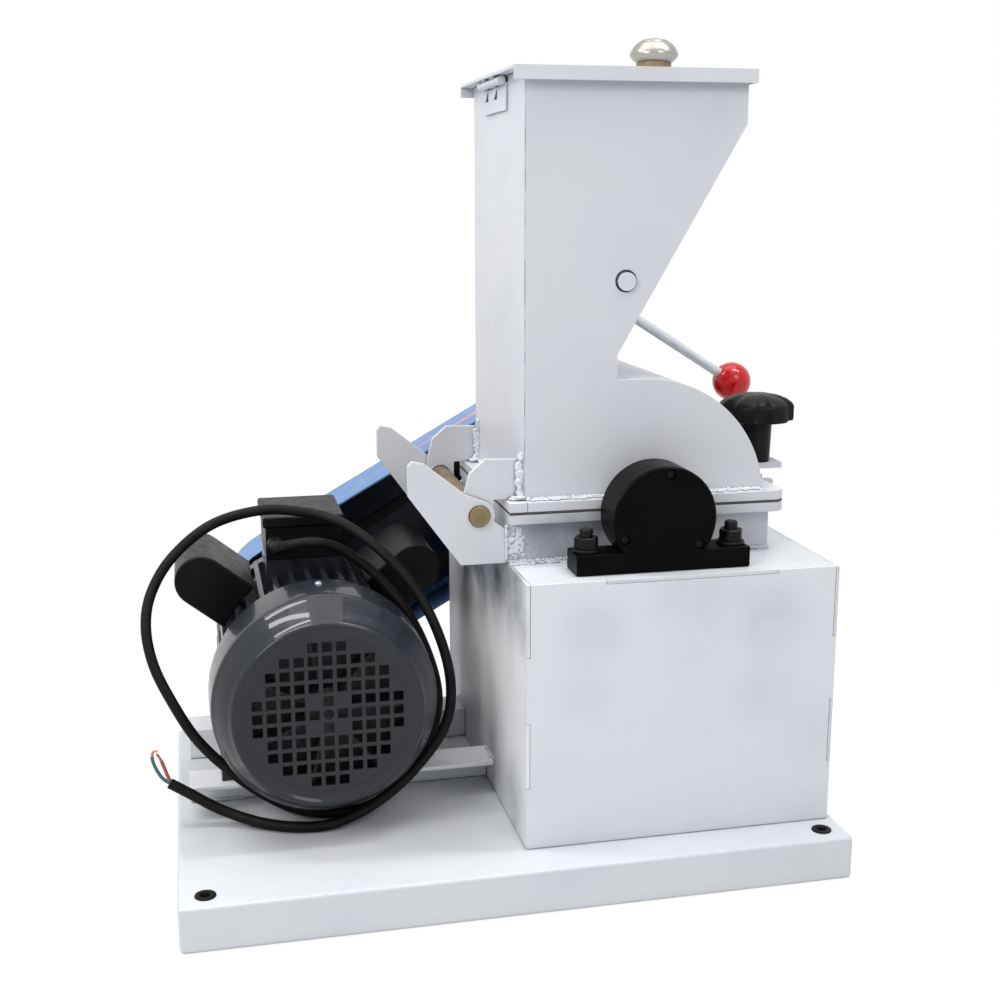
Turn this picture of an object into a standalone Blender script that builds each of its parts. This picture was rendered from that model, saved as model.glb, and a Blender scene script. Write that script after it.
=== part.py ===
"""Small hammer crusher: a hopper that swings open over a hammer rotor, belt driven by a foot-mounted motor.

Metres, +Z up. The machine frame has its origin at the front left bottom corner of the base pan, +X runs
along the front to the right and +Y away from the front. The finished part is shifted so that the world
origin is the centre of its bounding box, on the floor.
"""

import math

import bmesh
import bpy
from mathutils import Matrix, Vector

# General fits
SEAT_GAP = 0.0003
RUN_GAP = 0.0005
SHEET = 0.003
WELD = 0.000003
CUT_OVERRUN = 0.020

# Base pan. Its width and depth follow the stand
BASE_HEIGHT = 0.040
BASE_LIP = 0.016
BASE_EDGE_RADIUS = 0.004
FIXING_HOLE_RADIUS = 0.008
FIXING_HOLE_INSET_X = 0.022
FIXING_HOLE_INSET_Y = 0.0195
STAND_FLOOR = BASE_HEIGHT + SEAT_GAP

# Motor rails, two steel angles across the base
RAIL_LEFT = 0.012
RAIL_HEIGHT = 0.0297
RAIL_FLANGE = 0.040
RAIL_THICKNESS = 0.004
RAIL_TOP = STAND_FLOOR + RAIL_HEIGHT

# Motor across its axis, which runs along Y
MOTOR_X = 0.1313
COVER_RADIUS = 0.099
COVER_SHEET = 0.002
COVER_RIM = 0.008
COVER_LIP_RADIUS = COVER_RADIUS - 0.018
GRILLE_RADIUS = COVER_LIP_RADIUS - 0.0105
GRILLE_PITCH = GRILLE_RADIUS * 0.1702
GRILLE_HOLE = GRILLE_PITCH * 0.717
GRILLE_CENTRE_HOLE_RADIUS = 0.0046
GRILLE_RECESS = 0.004
GRILLE_HALF_ROWS = (1, 3, 4, 4, 5, 5, 5, 4, 4, 3, 1)
STATOR_RADIUS = COVER_RADIUS - 0.011
STATOR_FIN_DEPTH = 0.009
STATOR_FINS = 36
SHIELD_RADIUS = STATOR_RADIUS - 0.004
MOTOR_BODY_RISE = 0.0024
MOTOR_Z = RAIL_TOP + MOTOR_BODY_RISE + STATOR_RADIUS
MOTOR_SHAFT_RADIUS = 0.012
FAN_SHAFT_RADIUS = 0.010
SHIELD_BORE_GAP = 0.001
FAN_RADIUS = COVER_RADIUS - COVER_SHEET - 0.012
FAN_BLADES = 7
FAN_BLADE_THICKNESS = 0.0026
FAN_PLATE = 0.003
FAN_HUB_RADIUS = 0.020
FOOT_SPREAD = STATOR_RADIUS - 0.0177
FOOT_WIDTH = 0.040
FOOT_THICKNESS = 0.0097
FOOT_WEB = 0.016

# Capacitor covers at the motor's shoulders. The stand is as high as they need under the hinge plates
CAPACITOR_RADIUS = 0.024
CAPACITOR_STAND_OFF = 0.041
CAPACITOR_REACH = STATOR_RADIUS + CAPACITOR_STAND_OFF
CAPACITOR_SINK = 0.010
CAPACITOR_ANGLE = math.radians(38.6)
CAPACITOR_TOP = MOTOR_Z + CAPACITOR_REACH * math.sin(CAPACITOR_ANGLE) + CAPACITOR_RADIUS

# Crushing chamber across, from the motor to the right
STAND_GAP = 0.0627
STAND_LEFT = MOTOR_X + COVER_RADIUS + STAND_GAP
HOUSING_LEFT = STAND_LEFT
HOUSING_WALL = 0.005
DRUM_RADIUS = 0.1125
DRUM_LEFT_MARGIN = 0.0125
DRUM_RIGHT_MARGIN = 0.0065
ROTOR_X = HOUSING_LEFT + DRUM_RADIUS + DRUM_LEFT_MARGIN
HOUSING_RIGHT = ROTOR_X + DRUM_RADIUS + DRUM_RIGHT_MARGIN
FLANGE_LEFT = HOUSING_LEFT
FLANGE_RIGHT_LIP = 0.010
FLANGE_RIGHT = HOUSING_RIGHT + FLANGE_RIGHT_LIP
FLANGE_CHAMFER = 0.006
STAND_RIGHT_MARGIN = 0.036
STAND_RIGHT = HOUSING_RIGHT + STAND_RIGHT_MARGIN
STAND_WIDTH = STAND_RIGHT - STAND_LEFT
BASE_RIGHT_MARGIN = 0.007
BASE_WIDTH = STAND_RIGHT + BASE_RIGHT_MARGIN

# Crushing chamber from front to back
HOUSING_FRONT = 0.114
HOUSING_DEPTH = 0.204
HOUSING_BACK = HOUSING_FRONT + HOUSING_DEPTH
MID_DEPTH = (HOUSING_FRONT + HOUSING_BACK) / 2
FLANGE_FRONT_LIP = 0.012
FLANGE_BACK_LIP = 0.010
FLANGE_FRONT = HOUSING_FRONT - FLANGE_FRONT_LIP
FLANGE_BACK = HOUSING_BACK + FLANGE_BACK_LIP

# Rotor bearings, bolted to the stand before and behind the flanges
BEARING_RADIUS = 0.046
BEARING_DEPTH = 0.041
BEARING_GAP = 0.006
BEARING_EDGE = 0.0015
BEARING_FOOT_LENGTH = 0.156
BEARING_FOOT_DEPTH = 0.033
BEARING_FOOT_HEIGHT = 0.018
BEARING_BLIND_END = 0.014
BEARING_SCREW_CIRCLE = BEARING_RADIUS - 0.007
BEARING_SCREW_RADIUS = 0.0045
BEARING_SCREW_DEPTH = 0.004
BEARING_SCREW_TURN = math.radians(84)
FRONT_BEARING_FRONT = FLANGE_FRONT - BEARING_GAP - BEARING_DEPTH
REAR_BEARING_FRONT = FLANGE_BACK + BEARING_GAP

# Stand, a welded sheet cabinet with finger joints
STAND_FRONT_MARGIN = 0.015
STAND_BACK_MARGIN = 0.017
STAND_FRONT = FRONT_BEARING_FRONT - STAND_FRONT_MARGIN
STAND_BACK = REAR_BEARING_FRONT + BEARING_DEPTH + STAND_BACK_MARGIN
STAND_CAPACITOR_GAP = 0.01142
STAND_TOP = CAPACITOR_TOP + STAND_CAPACITOR_GAP
STAND_HEIGHT = STAND_TOP - STAND_FLOOR
BASE_DEPTH = STAND_BACK
FINGER_SHARES = (0.236, 0.482, 0.732)
FINGER_LEVELS = tuple(STAND_FLOOR + STAND_HEIGHT * share for share in FINGER_SHARES)
TOP_TAB_INSET = 0.069
TOP_TAB_LEFT = STAND_LEFT + TOP_TAB_INSET
TOP_TAB_LENGTH = STAND_WIDTH * 0.55
DRAWER_SIDE_MARGIN = 0.038
DRAWER_WIDTH = STAND_BACK - STAND_FRONT - 2 * DRAWER_SIDE_MARGIN
DRAWER_RISE = 0.0217
DRAWER_BOTTOM = STAND_FLOOR + DRAWER_RISE
DRAWER_HEIGHT_MARGIN = 0.096
DRAWER_HEIGHT = STAND_HEIGHT - DRAWER_HEIGHT_MARGIN
TRAY_DROP = 0.020
TRAY_HEIGHT = DRAWER_HEIGHT - TRAY_DROP
TRAY_WALL = 0.002
TRAY_BACK_GAP = 0.012
TRAY_DEPTH = STAND_WIDTH - 2 * SHEET - TRAY_BACK_GAP
RUNNER_WIDTH = 0.018
HANDLE_LENGTH = 0.096
HANDLE_REACH = 0.020
HANDLE_RADIUS = 0.004

# Housing heights: the lower half on the stand, the gasket and the upper flange
HOUSING_FLOOR = STAND_TOP + SEAT_GAP
LOWER_HOUSING_HEIGHT = 0.0449
LOWER_FLANGE_TOP = HOUSING_FLOOR + LOWER_HOUSING_HEIGHT
LOWER_FLANGE_THICKNESS = 0.0085
GASKET_THICKNESS = 0.0017
GASKET_BOTTOM = LOWER_FLANGE_TOP + SEAT_GAP
UPPER_FLANGE_THICKNESS = 0.0082
UPPER_FLANGE_BOTTOM = GASKET_BOTTOM + GASKET_THICKNESS + SEAT_GAP
UPPER_FLANGE_TOP = UPPER_FLANGE_BOTTOM + UPPER_FLANGE_THICKNESS

# Rotor with four rows of hammers
ROTOR_SHAFT_RISE = 0.0005
ROTOR_Z = LOWER_FLANGE_TOP + ROTOR_SHAFT_RISE
ROTOR_SHAFT_RADIUS = 0.012
SHAFT_END_GAP = 0.002
SHAFT_NOTCH_RADIUS = ROTOR_SHAFT_RADIUS + 0.007
SHAFT_GASKET_GAP = 0.001
ROTOR_DISC_RADIUS = 0.052
ROTOR_DISC_THICKNESS = 0.009
ROTOR_DISCS = 4
ROTOR_END_GAP = 0.009
ROTOR_BODY_LENGTH = HOUSING_DEPTH - 2 * HOUSING_WALL - 2 * ROTOR_END_GAP
ROTOR_DISC_PITCH = (ROTOR_BODY_LENGTH - ROTOR_DISC_THICKNESS) / (ROTOR_DISCS - 1)
HAMMER_ROWS = 4
HAMMER_CIRCLE = ROTOR_DISC_RADIUS - 0.012
HAMMER_PIN_RADIUS = 0.005
HAMMER_PIN_PROUD = 0.002
HAMMER_DRUM_GAP = 0.0175
HAMMER_TIP_RADIUS = DRUM_RADIUS - HAMMER_DRUM_GAP
HAMMER_WIDTH = 0.024
HAMMER_SIDE_GAP = 0.0073
HAMMER_THICKNESS = ROTOR_DISC_PITCH - ROTOR_DISC_THICKNESS - 2 * HAMMER_SIDE_GAP

# Grate under the rotor
GRATE_HAMMER_GAP = 0.007
GRATE_RADIUS = HAMMER_TIP_RADIUS + GRATE_HAMMER_GAP
GRATE_THICKNESS = 0.003
GRATE_LIP = GRATE_RADIUS + 0.011
GRATE_END_GAP = 0.001
GRATE_THROAT_GAP = 0.002
GRATE_SLOTS = 7
GRATE_SLOT_STEP = math.radians(18)
GRATE_SLOT_WIDTH = 0.008
GRATE_BRIDGE = 0.018
GRATE_RIM = 0.013
GRATE_HALF_LENGTH = HOUSING_DEPTH / 2 - HOUSING_WALL - GRATE_END_GAP
GRATE_SLOT_LENGTH = GRATE_HALF_LENGTH - GRATE_BRIDGE / 2 - GRATE_RIM

# Hopper and drum, one profile swept through the depth
SHELL_WALL = 0.004
HOPPER_LEFT_STEP = 0.015
HOPPER_RIGHT_STEP = 0.0335
HOPPER_LEFT = HOUSING_LEFT + HOPPER_LEFT_STEP
HOPPER_RIGHT = HOUSING_RIGHT - HOPPER_RIGHT_STEP
HOPPER_RISE = 0.3695
HOPPER_TOP = ROTOR_Z + HOPPER_RISE
SHOULDER_DROP = 0.0415
SHOULDER_Z = HOPPER_TOP - SHOULDER_DROP
DRUM_TOP = ROTOR_Z + DRUM_RADIUS
NECK_OFFSET = 0.0266
NECK_X = ROTOR_X - NECK_OFFSET
NECK_LENGTH = 0.0225
NECK_TOP = DRUM_TOP + NECK_LENGTH

# Lid, its hinge and its knob
LID_SHEET = 0.0025
LID_SKIRT = 0.0115
LID_LEFT_LIP = 0.011
LID_RIGHT_LIP = 0.0045
LID_FRONT_LIP = 0.010
LID_BACK_LIP = 0.012
LID_LEFT = HOPPER_LEFT - LID_LEFT_LIP
LID_RIGHT = HOPPER_RIGHT + LID_RIGHT_LIP
LID_FRONT = HOUSING_FRONT - LID_FRONT_LIP
LID_BACK = HOUSING_BACK + LID_BACK_LIP
LID_TOP = HOPPER_TOP + RUN_GAP + LID_SHEET
LID_HINGE_LENGTH = 0.087
LID_HINGE_START = MID_DEPTH - 0.041
LID_HINGE_RADIUS = 0.0036
LID_HINGE_PIN_RADIUS = 0.0016
LID_HINGE_KNUCKLES = 5
LID_HINGE_LEAF_HEIGHT = 0.025
LID_HINGE_LEAF = 0.0018
LID_HINGE_X = (LID_LEFT + HOPPER_LEFT) / 2
LID_HINGE_Z = LID_TOP - LID_SHEET - RUN_GAP - LID_HINGE_RADIUS
LID_KNOB_X = LID_RIGHT - 0.055
LID_KNOB_RADIUS = 0.023
LID_KNOB_HEIGHT = 0.037
LID_KNOB_PROFILE = (
    (0.30, 0.975),
    (0.62, 0.88),
    (0.90, 0.72),
    (1.0, 0.64),
    (1.0, 0.58),
    (0.92, 0.50),
    (0.80, 0.36),
    (0.72, 0.20),
    (0.76, 0.0),
    (0.0, 0.0),
)

# Housing hinge. The plates' outline points are given from the pin
PIN_X = HOUSING_LEFT - 0.0243
PIN_Z = LOWER_FLANGE_TOP - 0.002
PIN_RADIUS = 0.0092
PIN_PROUD = 0.003
HINGE_PLATE = 0.005
HINGE_BACK_INSET = 0.004
HINGE_BOSS_RADIUS = 0.0138
HINGE_PLATE_GAP = 0.0007
UPPER_PLATE_RISE = 0.0478
UPPER_PLATE_POINTS = ((0.0065, 0.0489), (-0.0073, 0.0369), (-0.0124, 0.0183))
LOWER_PLATE_FOOT = 0.0167
LOWER_PLATE_DROP = 0.0130
LOWER_PLATE_POINTS = (
    (-0.0622, 0.0200),
    (-0.0620, 0.0465),
    (-0.0585, 0.0505),
    (-0.0476, 0.0480),
    (-0.0122, 0.0195),
)

# Feed gate and its lever
GATE_OFFSET = 0.020
GATE_X = ROTOR_X - GATE_OFFSET
GATE_Z = NECK_TOP + 0.062
GATE_SHAFT_RADIUS = 0.008
GATE_SIDE_GAP = 0.005
GATE_FLAP_LENGTH = GATE_X - HOPPER_LEFT - SHELL_WALL - GATE_SIDE_GAP
GATE_FLAP_TAIL = 0.018
GATE_FLAP_THICKNESS = 0.003
GATE_SHAFT_PROUD = 0.003
LEVER_ANGLE = math.radians(-32.4)
LEVER_LENGTH = 0.2215
LEVER_ROD_RADIUS = 0.005
LEVER_ROD_SINK = 0.002
LEVER_HUB_RADIUS = 0.013
LEVER_HUB_LENGTH = 0.018
LEVER_BALL_RADIUS = 0.020
LEVER_BALL_SOCKET = 0.009
LEVER_Y = HOUSING_BACK + LEVER_HUB_LENGTH / 2 + 0.003
BALL_X = GATE_X + LEVER_LENGTH * math.cos(LEVER_ANGLE)
BALL_Z = GATE_Z + LEVER_LENGTH * math.sin(LEVER_ANGLE)

# Clamp at the free side of the flanges
CLAMP_X = FLANGE_RIGHT + 0.018
TAB_Y = MID_DEPTH
TAB_WIDTH = 0.028
TAB_LEFT = FLANGE_RIGHT - 0.016
TAB_RIGHT = CLAMP_X + 0.023
UPPER_TAB_THICKNESS = 0.0057
LOWER_TAB_REACH = 0.013
LOWER_TAB_WIDTH = 0.034
STUD_RADIUS = 0.005
STUD_EDGE = 0.0015
STUD_SINK = 0.010
STUD_PROUD = 0.007
STUD_BOTTOM = LOWER_FLANGE_TOP - LOWER_FLANGE_THICKNESS - STUD_PROUD
CLAMP_NOTCH_WIDTH = 2 * STUD_RADIUS + 0.007
CLAMP_SEAT = UPPER_FLANGE_TOP + UPPER_TAB_THICKNESS + SEAT_GAP
STAR_RADIUS = 0.036
STAR_LOBES = 6
STAR_LOBE_TURN = math.radians(19.3)
STAR_HEIGHT = 0.066
STAR_TOP = CLAMP_SEAT + STAR_HEIGHT
STAR_THICKNESS = 0.026
STAR_DOME_DROP = 0.008
HUB_TOP_RADIUS = 0.0158
HUB_FOOT_RADIUS = 0.0145
HUB_FOOT_EDGE = 0.002
HUB_SINK = 0.003

# Pulleys and belt behind the stand
MOTOR_PULLEY_RADIUS = 0.040
ROTOR_PULLEY_RADIUS = 0.050
PULLEY_GAP = 0.010
PULLEY_FRONT = STAND_BACK + PULLEY_GAP
PULLEY_WIDTH = 0.026
SHAFT_END_STEP = 0.001
BELT_DEPTH = 0.009
BELT_WIDTH = 0.013
BELT_GAP = 0.001
GROOVE_SIDE_GAP = 0.0005
GROOVE_FLARE = 0.0025
BELT_MID = PULLEY_FRONT + PULLEY_WIDTH / 2

# Belt guard
GUARD_RADIUS = ROTOR_PULLEY_RADIUS + 0.028
GUARD_DEPTH = 0.070
GUARD_SHEET = 0.002
GUARD_FRONT = STAND_BACK + SEAT_GAP
GUARD_BACK = GUARD_FRONT + GUARD_DEPTH
AXES_DISTANCE = math.hypot(ROTOR_X - MOTOR_X, ROTOR_Z - MOTOR_Z)
GUARD_TAB_PLACES = (AXES_DISTANCE - 0.0931, AXES_DISTANCE - 0.0231)
GUARD_TAB_LENGTH = 0.030
GUARD_TAB_REACH = 0.018

# Motor along its axis, from the belt side forward
MOTOR_BACK_GAP = 0.018
MOTOR_SHOULDER = STAND_BACK - MOTOR_BACK_GAP
MOTOR_SHAFT_END = PULLEY_FRONT + PULLEY_WIDTH + SHAFT_END_STEP
REAR_SHIELD_LENGTH = 0.044
FRONT_SHIELD_LENGTH = 0.016
STATOR_LENGTH = 0.168
STATOR_BACK = MOTOR_SHOULDER - REAR_SHIELD_LENGTH
STATOR_FRONT = STATOR_BACK - STATOR_LENGTH
COVER_LENGTH = 0.078
COVER_GAP = 0.002
MOTOR_FACE_Y = STATOR_FRONT - COVER_GAP - COVER_LENGTH
FAN_BACK = STATOR_FRONT - 0.037
FAN_DEPTH = COVER_LENGTH - 0.050
FOOT_FRONT = STATOR_FRONT + 0.013
FOOT_BACK = STATOR_BACK
RAIL_FRONT_Y = FOOT_FRONT - 0.010
RAIL_BACK_Y = FOOT_BACK - 0.024
CASTING_OVERLAP = 0.001

# Boxes on the motor
BOX_REACH_LEFT = 0.0398
BOX_REACH_RIGHT = 0.0312
BOX_LEFT = MOTOR_X - BOX_REACH_LEFT
BOX_RIGHT = MOTOR_X + BOX_REACH_RIGHT
BOX_LENGTH = 0.088
BOX_BACK_INSET = 0.002
BOX_BACK = STATOR_BACK - BOX_BACK_INSET
BOX_FRONT = BOX_BACK - BOX_LENGTH
SADDLE_RISE = 0.0096
SADDLE_TOP = MOTOR_Z + STATOR_RADIUS + SADDLE_RISE
BOX_HEIGHT = 0.0305
BOX_TOP = SADDLE_TOP + BOX_HEIGHT
BOX_LID_HEIGHT = 0.0107
BOX_LID_TOP = BOX_TOP + BOX_LID_HEIGHT
BOX_LID_RIM = 0.0025
BOX_LID_EDGE = 0.002
CAPACITOR_FRONT = BOX_FRONT
CAPACITOR_LENGTH = 0.100
GLAND_RADIUS = 0.008
GLAND_LENGTH = 0.012
GLAND_SINK = 0.002
GLAND_INSET = 0.009
GLAND_RISE = 0.017
GLAND_X = BOX_LEFT + GLAND_INSET
GLAND_Y = BOX_FRONT - GLAND_LENGTH
GLAND_Z = SADDLE_TOP + GLAND_RISE

# Mains cord. Its points are given from the gland's mouth
CORD_RADIUS = 0.00475
CORD_STEP = 0.018
CORD_LEAD = 0.006
CORD_ROUTE = (
    (0.0005, -0.0140, 0.0018),
    (0.0080, -0.0250, 0.0055),
    (0.0200, -0.0305, 0.0085),
    (0.0340, -0.0305, 0.0085),
    (0.0495, -0.0270, 0.0035),
    (0.0645, -0.0250, -0.0060),
    (0.0885, -0.0300, -0.0260),
    (0.1135, -0.0480, -0.0570),
    (0.1315, -0.0620, -0.0990),
    (0.1371, -0.0720, -0.1380),
    (0.1251, -0.0780, -0.1780),
    (0.1015, -0.0780, -0.2100),
    (0.0725, -0.0840, -0.2270),
    (0.0403, -0.0880, -0.2299),
    (0.0065, -0.0800, -0.2270),
    (-0.0235, -0.0760, -0.2112),
    (-0.0528, -0.0760, -0.1854),
    (-0.0803, -0.0700, -0.1556),
    (-0.1005, -0.0640, -0.1200),
    (-0.1145, -0.0530, -0.0890),
    (-0.1195, -0.0400, -0.0580),
    (-0.1135, -0.0280, -0.0300),
    (-0.0938, -0.0180, -0.0010),
    (-0.0585, -0.0100, 0.0250),
    (-0.0145, 0.0000, 0.0340),
    (0.0235, 0.0020, 0.0305),
    (0.0565, -0.0130, 0.0230),
    (0.0881, -0.0380, 0.0030),
    (0.1182, -0.0630, -0.0300),
    (0.1375, -0.0830, -0.0720),
    (0.1455, -0.0930, -0.1150),
    (0.1385, -0.0980, -0.1520),
    (0.1101, -0.1010, -0.1890),
    (0.0745, -0.1050, -0.2160),
    (0.0365, -0.1110, -0.2290),
    (0.0041, -0.1100, -0.2299),
    (-0.0288, -0.0950, -0.2290),
    (-0.0615, -0.0800, -0.2205),
    (-0.0875, -0.0730, -0.2060),
    (-0.1055, -0.0700, -0.1950),
)

# The world origin in the machine frame
ORIGIN_X = max(CLAMP_X + STAR_RADIUS, BALL_X + LEVER_BALL_RADIUS) / 2
ORIGIN_Y = GUARD_BACK / 2


# Scene, materials and parenting


def clear_scene():
    """Remove every object so that the file can be run twice."""
    for obj in list(bpy.data.objects):
        bpy.data.objects.remove(obj, do_unlink=True)


def new_collection(name):
    """A collection linked to the scene."""
    collection = bpy.data.collections.new(name)
    bpy.context.scene.collection.children.link(collection)
    return collection


def make_material(name, colour, roughness, metallic=0.0):
    """A Principled material with the piece's plain colour."""
    material = bpy.data.materials.new(name)
    material.use_nodes = True
    shader = material.node_tree.nodes["Principled BSDF"]
    shader.inputs["Base Color"].default_value = (*colour, 1.0)
    shader.inputs["Roughness"].default_value = roughness
    shader.inputs["Metallic"].default_value = metallic
    material.diffuse_color = (*colour, 1.0)
    return material


clear_scene()
PARTS = new_collection("hammer_crusher")

WHITE = make_material("white_paint", (0.86, 0.87, 0.89), 0.35)
BLACK = make_material("black_paint", (0.02, 0.02, 0.022), 0.45)
STEEL = make_material("bright_steel", (0.62, 0.63, 0.64), 0.35, 1.0)
ZINC = make_material("yellow_zinc", (0.42, 0.34, 0.20), 0.4, 0.8)
NICKEL = make_material("polished_nickel", (0.75, 0.73, 0.70), 0.12, 1.0)
MOTOR_GREY = make_material("motor_grey", (0.13, 0.145, 0.16), 0.25, 0.3)
DARK_COVER = make_material("dark_cover", (0.055, 0.05, 0.05), 0.5)
BLUE = make_material("blue_paint", (0.03, 0.16, 0.55), 0.35)
RED = make_material("red_plastic", (0.62, 0.01, 0.015), 0.15)
KNOB_BLACK = make_material("knob_plastic", (0.03, 0.035, 0.03), 0.4)
RUBBER = make_material("black_rubber", (0.02, 0.02, 0.02), 0.6)
GASKET_BROWN = make_material("gasket", (0.10, 0.08, 0.07), 0.8)
FORGED = make_material("forged_steel", (0.28, 0.27, 0.26), 0.5, 0.9)


def new_pivot(name, place, parent=None):
    """An empty at a place of the machine frame, used as a body's joint axis."""
    empty = bpy.data.objects.new(name, None)
    empty.empty_display_size = 0.05
    PARTS.objects.link(empty)
    if parent is None:
        empty.location = place
    else:
        empty.parent = parent
        empty.location = Vector(place) - Vector(parent["machine_place"])
    empty["machine_place"] = tuple(place) if parent else (0.0, 0.0, 0.0)
    return empty


def attach(obj, pivot):
    """Parent an object, placed in the machine frame, to a pivot without moving it."""
    obj.parent = pivot
    obj.matrix_parent_inverse = Matrix.Translation(-Vector(pivot["machine_place"]))
    return obj


# Shape makers, all in the machine frame


def add_mesh_object(name, mesh, material):
    """Link a mesh as a new object."""
    obj = bpy.data.objects.new(name, mesh)
    PARTS.objects.link(obj)
    if material:
        mesh.materials.clear()
        mesh.materials.append(material)
    return obj


def make_box(name, low, high, material=None, bevel=0.0):
    """A box between two corners, with its origin at its centre."""
    mesh = bpy.data.meshes.new(name)
    shape = bmesh.new()
    bmesh.ops.create_cube(shape, size=1.0)
    size = [b - a for a, b in zip(low, high)]
    bmesh.ops.scale(shape, vec=size, verts=shape.verts)
    shape.to_mesh(mesh)
    shape.free()
    obj = add_mesh_object(name, mesh, material)
    obj.location = [(a + b) / 2 for a, b in zip(low, high)]
    if bevel:
        add_bevel(obj, bevel)
    return obj


def weld(mesh):
    """Merge the points that lie on one another and turn the faces outward."""
    shape = bmesh.new()
    shape.from_mesh(mesh)
    bmesh.ops.remove_doubles(shape, verts=shape.verts, dist=WELD)
    bmesh.ops.dissolve_degenerate(shape, edges=shape.edges, dist=WELD)
    bmesh.ops.recalc_face_normals(shape, faces=shape.faces)
    shape.to_mesh(mesh)
    shape.free()


def add_bevel(obj, width, segments=2, angle=40.0):
    """Round the edges sharper than an angle."""
    bevel = obj.modifiers.new("Round", "BEVEL")
    bevel.width = width
    bevel.segments = segments
    bevel.limit_method = "ANGLE"
    bevel.angle_limit = math.radians(angle)
    return bevel


def shade_round(obj, angle=35.0):
    """Smooth shading with sharp edges kept."""
    obj.data.shade_smooth()
    obj.data.set_sharp_from_angle(angle=math.radians(angle))
    return obj


def circle_points(centre, radius, count, start=0.0, sweep=2 * math.pi, closed=True):
    """Points along an arc in the outline plane."""
    steps = count if closed else count - 1
    return [
        (
            centre[0] + radius * math.cos(start + sweep * i / steps),
            centre[1] + radius * math.sin(start + sweep * i / steps),
        )
        for i in range(count)
    ]


PLANES = {
    "XZ": Matrix.Rotation(math.radians(90), 4, "X"),
    "XY": Matrix.Identity(4),
    "YZ": Matrix.Rotation(math.radians(90), 4, "Z") @ Matrix.Rotation(math.radians(90), 4, "X"),
}


def make_plate(name, plane, outlines, low, high, material=None):
    """A flat outline, with any holes, extruded from low to high along the plane's normal."""
    curve = bpy.data.curves.new(name, "CURVE")
    curve.dimensions = "2D"
    curve.fill_mode = "BOTH"
    curve.extrude = (high - low) / 2
    for points in outlines:
        spline = curve.splines.new("POLY")
        spline.points.add(len(points) - 1)
        for point, (u, v) in zip(spline.points, points):
            point.co = (u, v, 0.0, 1.0)
        spline.use_cyclic_u = True
    guide = bpy.data.objects.new(name + "_outline", curve)
    PARTS.objects.link(guide)
    bpy.context.view_layer.update()
    graph = bpy.context.evaluated_depsgraph_get()
    mesh = bpy.data.meshes.new_from_object(guide.evaluated_get(graph))
    bpy.data.objects.remove(guide, do_unlink=True)
    weld(mesh)
    mesh.name = name
    obj = add_mesh_object(name, mesh, material)
    middle = (low + high) / 2
    offset = {"XZ": (0, middle, 0), "XY": (0, 0, middle), "YZ": (middle, 0, 0)}[plane]
    obj.matrix_world = Matrix.Translation(offset) @ PLANES[plane]
    return obj


def make_turned(name, profile, centre, axis, material=None, steps=40, closed=False):
    """A profile of (radius, height) points turned round an axis through the centre.

    An open profile starts and ends on the axis and runs from its top down its outer side. A closed one
    makes a ring.
    """
    mesh = bpy.data.meshes.new(name)
    edges = [(i, i + 1) for i in range(len(profile) - 1)]
    if closed:
        edges.append((len(profile) - 1, 0))
    mesh.from_pydata([(radius, 0.0, height) for radius, height in profile], edges, [])
    obj = add_mesh_object(name, mesh, None)
    screw = obj.modifiers.new("Turn", "SCREW")
    screw.axis = "Z"
    screw.steps = steps
    screw.render_steps = steps
    screw.use_merge_vertices = True
    screw.merge_threshold = 0.000001
    screw.use_smooth_shade = True
    bpy.context.view_layer.update()
    graph = bpy.context.evaluated_depsgraph_get()
    turned = bpy.data.meshes.new_from_object(obj.evaluated_get(graph))
    obj.modifiers.clear()
    weld(turned)
    obj.data = turned
    turned.name = name
    if material:
        turned.materials.clear()
        turned.materials.append(material)
    turn = {
        "Z": Matrix.Identity(4),
        "Y": Matrix.Rotation(math.radians(-90), 4, "X"),
        "X": Matrix.Rotation(math.radians(90), 4, "Y"),
    }[axis]
    obj.matrix_world = Matrix.Translation(centre) @ turn
    shade_round(obj)
    return obj


def make_rod(name, start, length, radius, axis, material=None, steps=32):
    """A plain cylinder from a start point along +axis."""
    profile = [(0.0, length), (radius, length), (radius, 0.0), (0.0, 0.0)]
    return make_turned(name, profile, start, axis, material, steps)


def combine(obj, other, operation):
    """Apply a Boolean with another object, which is then removed."""
    modifier = obj.modifiers.new(operation.title(), "BOOLEAN")
    modifier.operation = operation
    modifier.solver = "EXACT"
    modifier.object = other
    bpy.context.view_layer.update()
    graph = bpy.context.evaluated_depsgraph_get()
    mesh = bpy.data.meshes.new_from_object(obj.evaluated_get(graph))
    weld(mesh)
    obj.modifiers.clear()
    old = obj.data
    obj.data = mesh
    mesh.name = old.name
    bpy.data.objects.remove(other, do_unlink=True)
    return obj


def cut(obj, *others):
    """Cut other shapes out of an object."""
    for other in others:
        combine(obj, other, "DIFFERENCE")
    return obj


def join(obj, *others):
    """Fuse other shapes into an object."""
    for other in others:
        combine(obj, other, "UNION")
    return obj


def join_attached(obj, other, pivot):
    """Fuse a shape of the machine frame into an object that already hangs on a pivot."""
    obj.parent = None
    obj.matrix_parent_inverse = Matrix.Identity(4)
    join(obj, other)
    attach(obj, pivot)


def make_tube(name, points, radius, material, bevel_resolution=2):
    """A round tube along points, with closed ends."""
    curve = bpy.data.curves.new(name, "CURVE")
    curve.dimensions = "3D"
    curve.bevel_depth = radius
    curve.bevel_resolution = bevel_resolution
    curve.use_fill_caps = True
    spline = curve.splines.new("POLY")
    spline.points.add(len(points) - 1)
    for point, place in zip(spline.points, points):
        point.co = (*place, 1.0)
    if material:
        curve.materials.append(material)
    obj = bpy.data.objects.new(name, curve)
    PARTS.objects.link(obj)
    return obj


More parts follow.
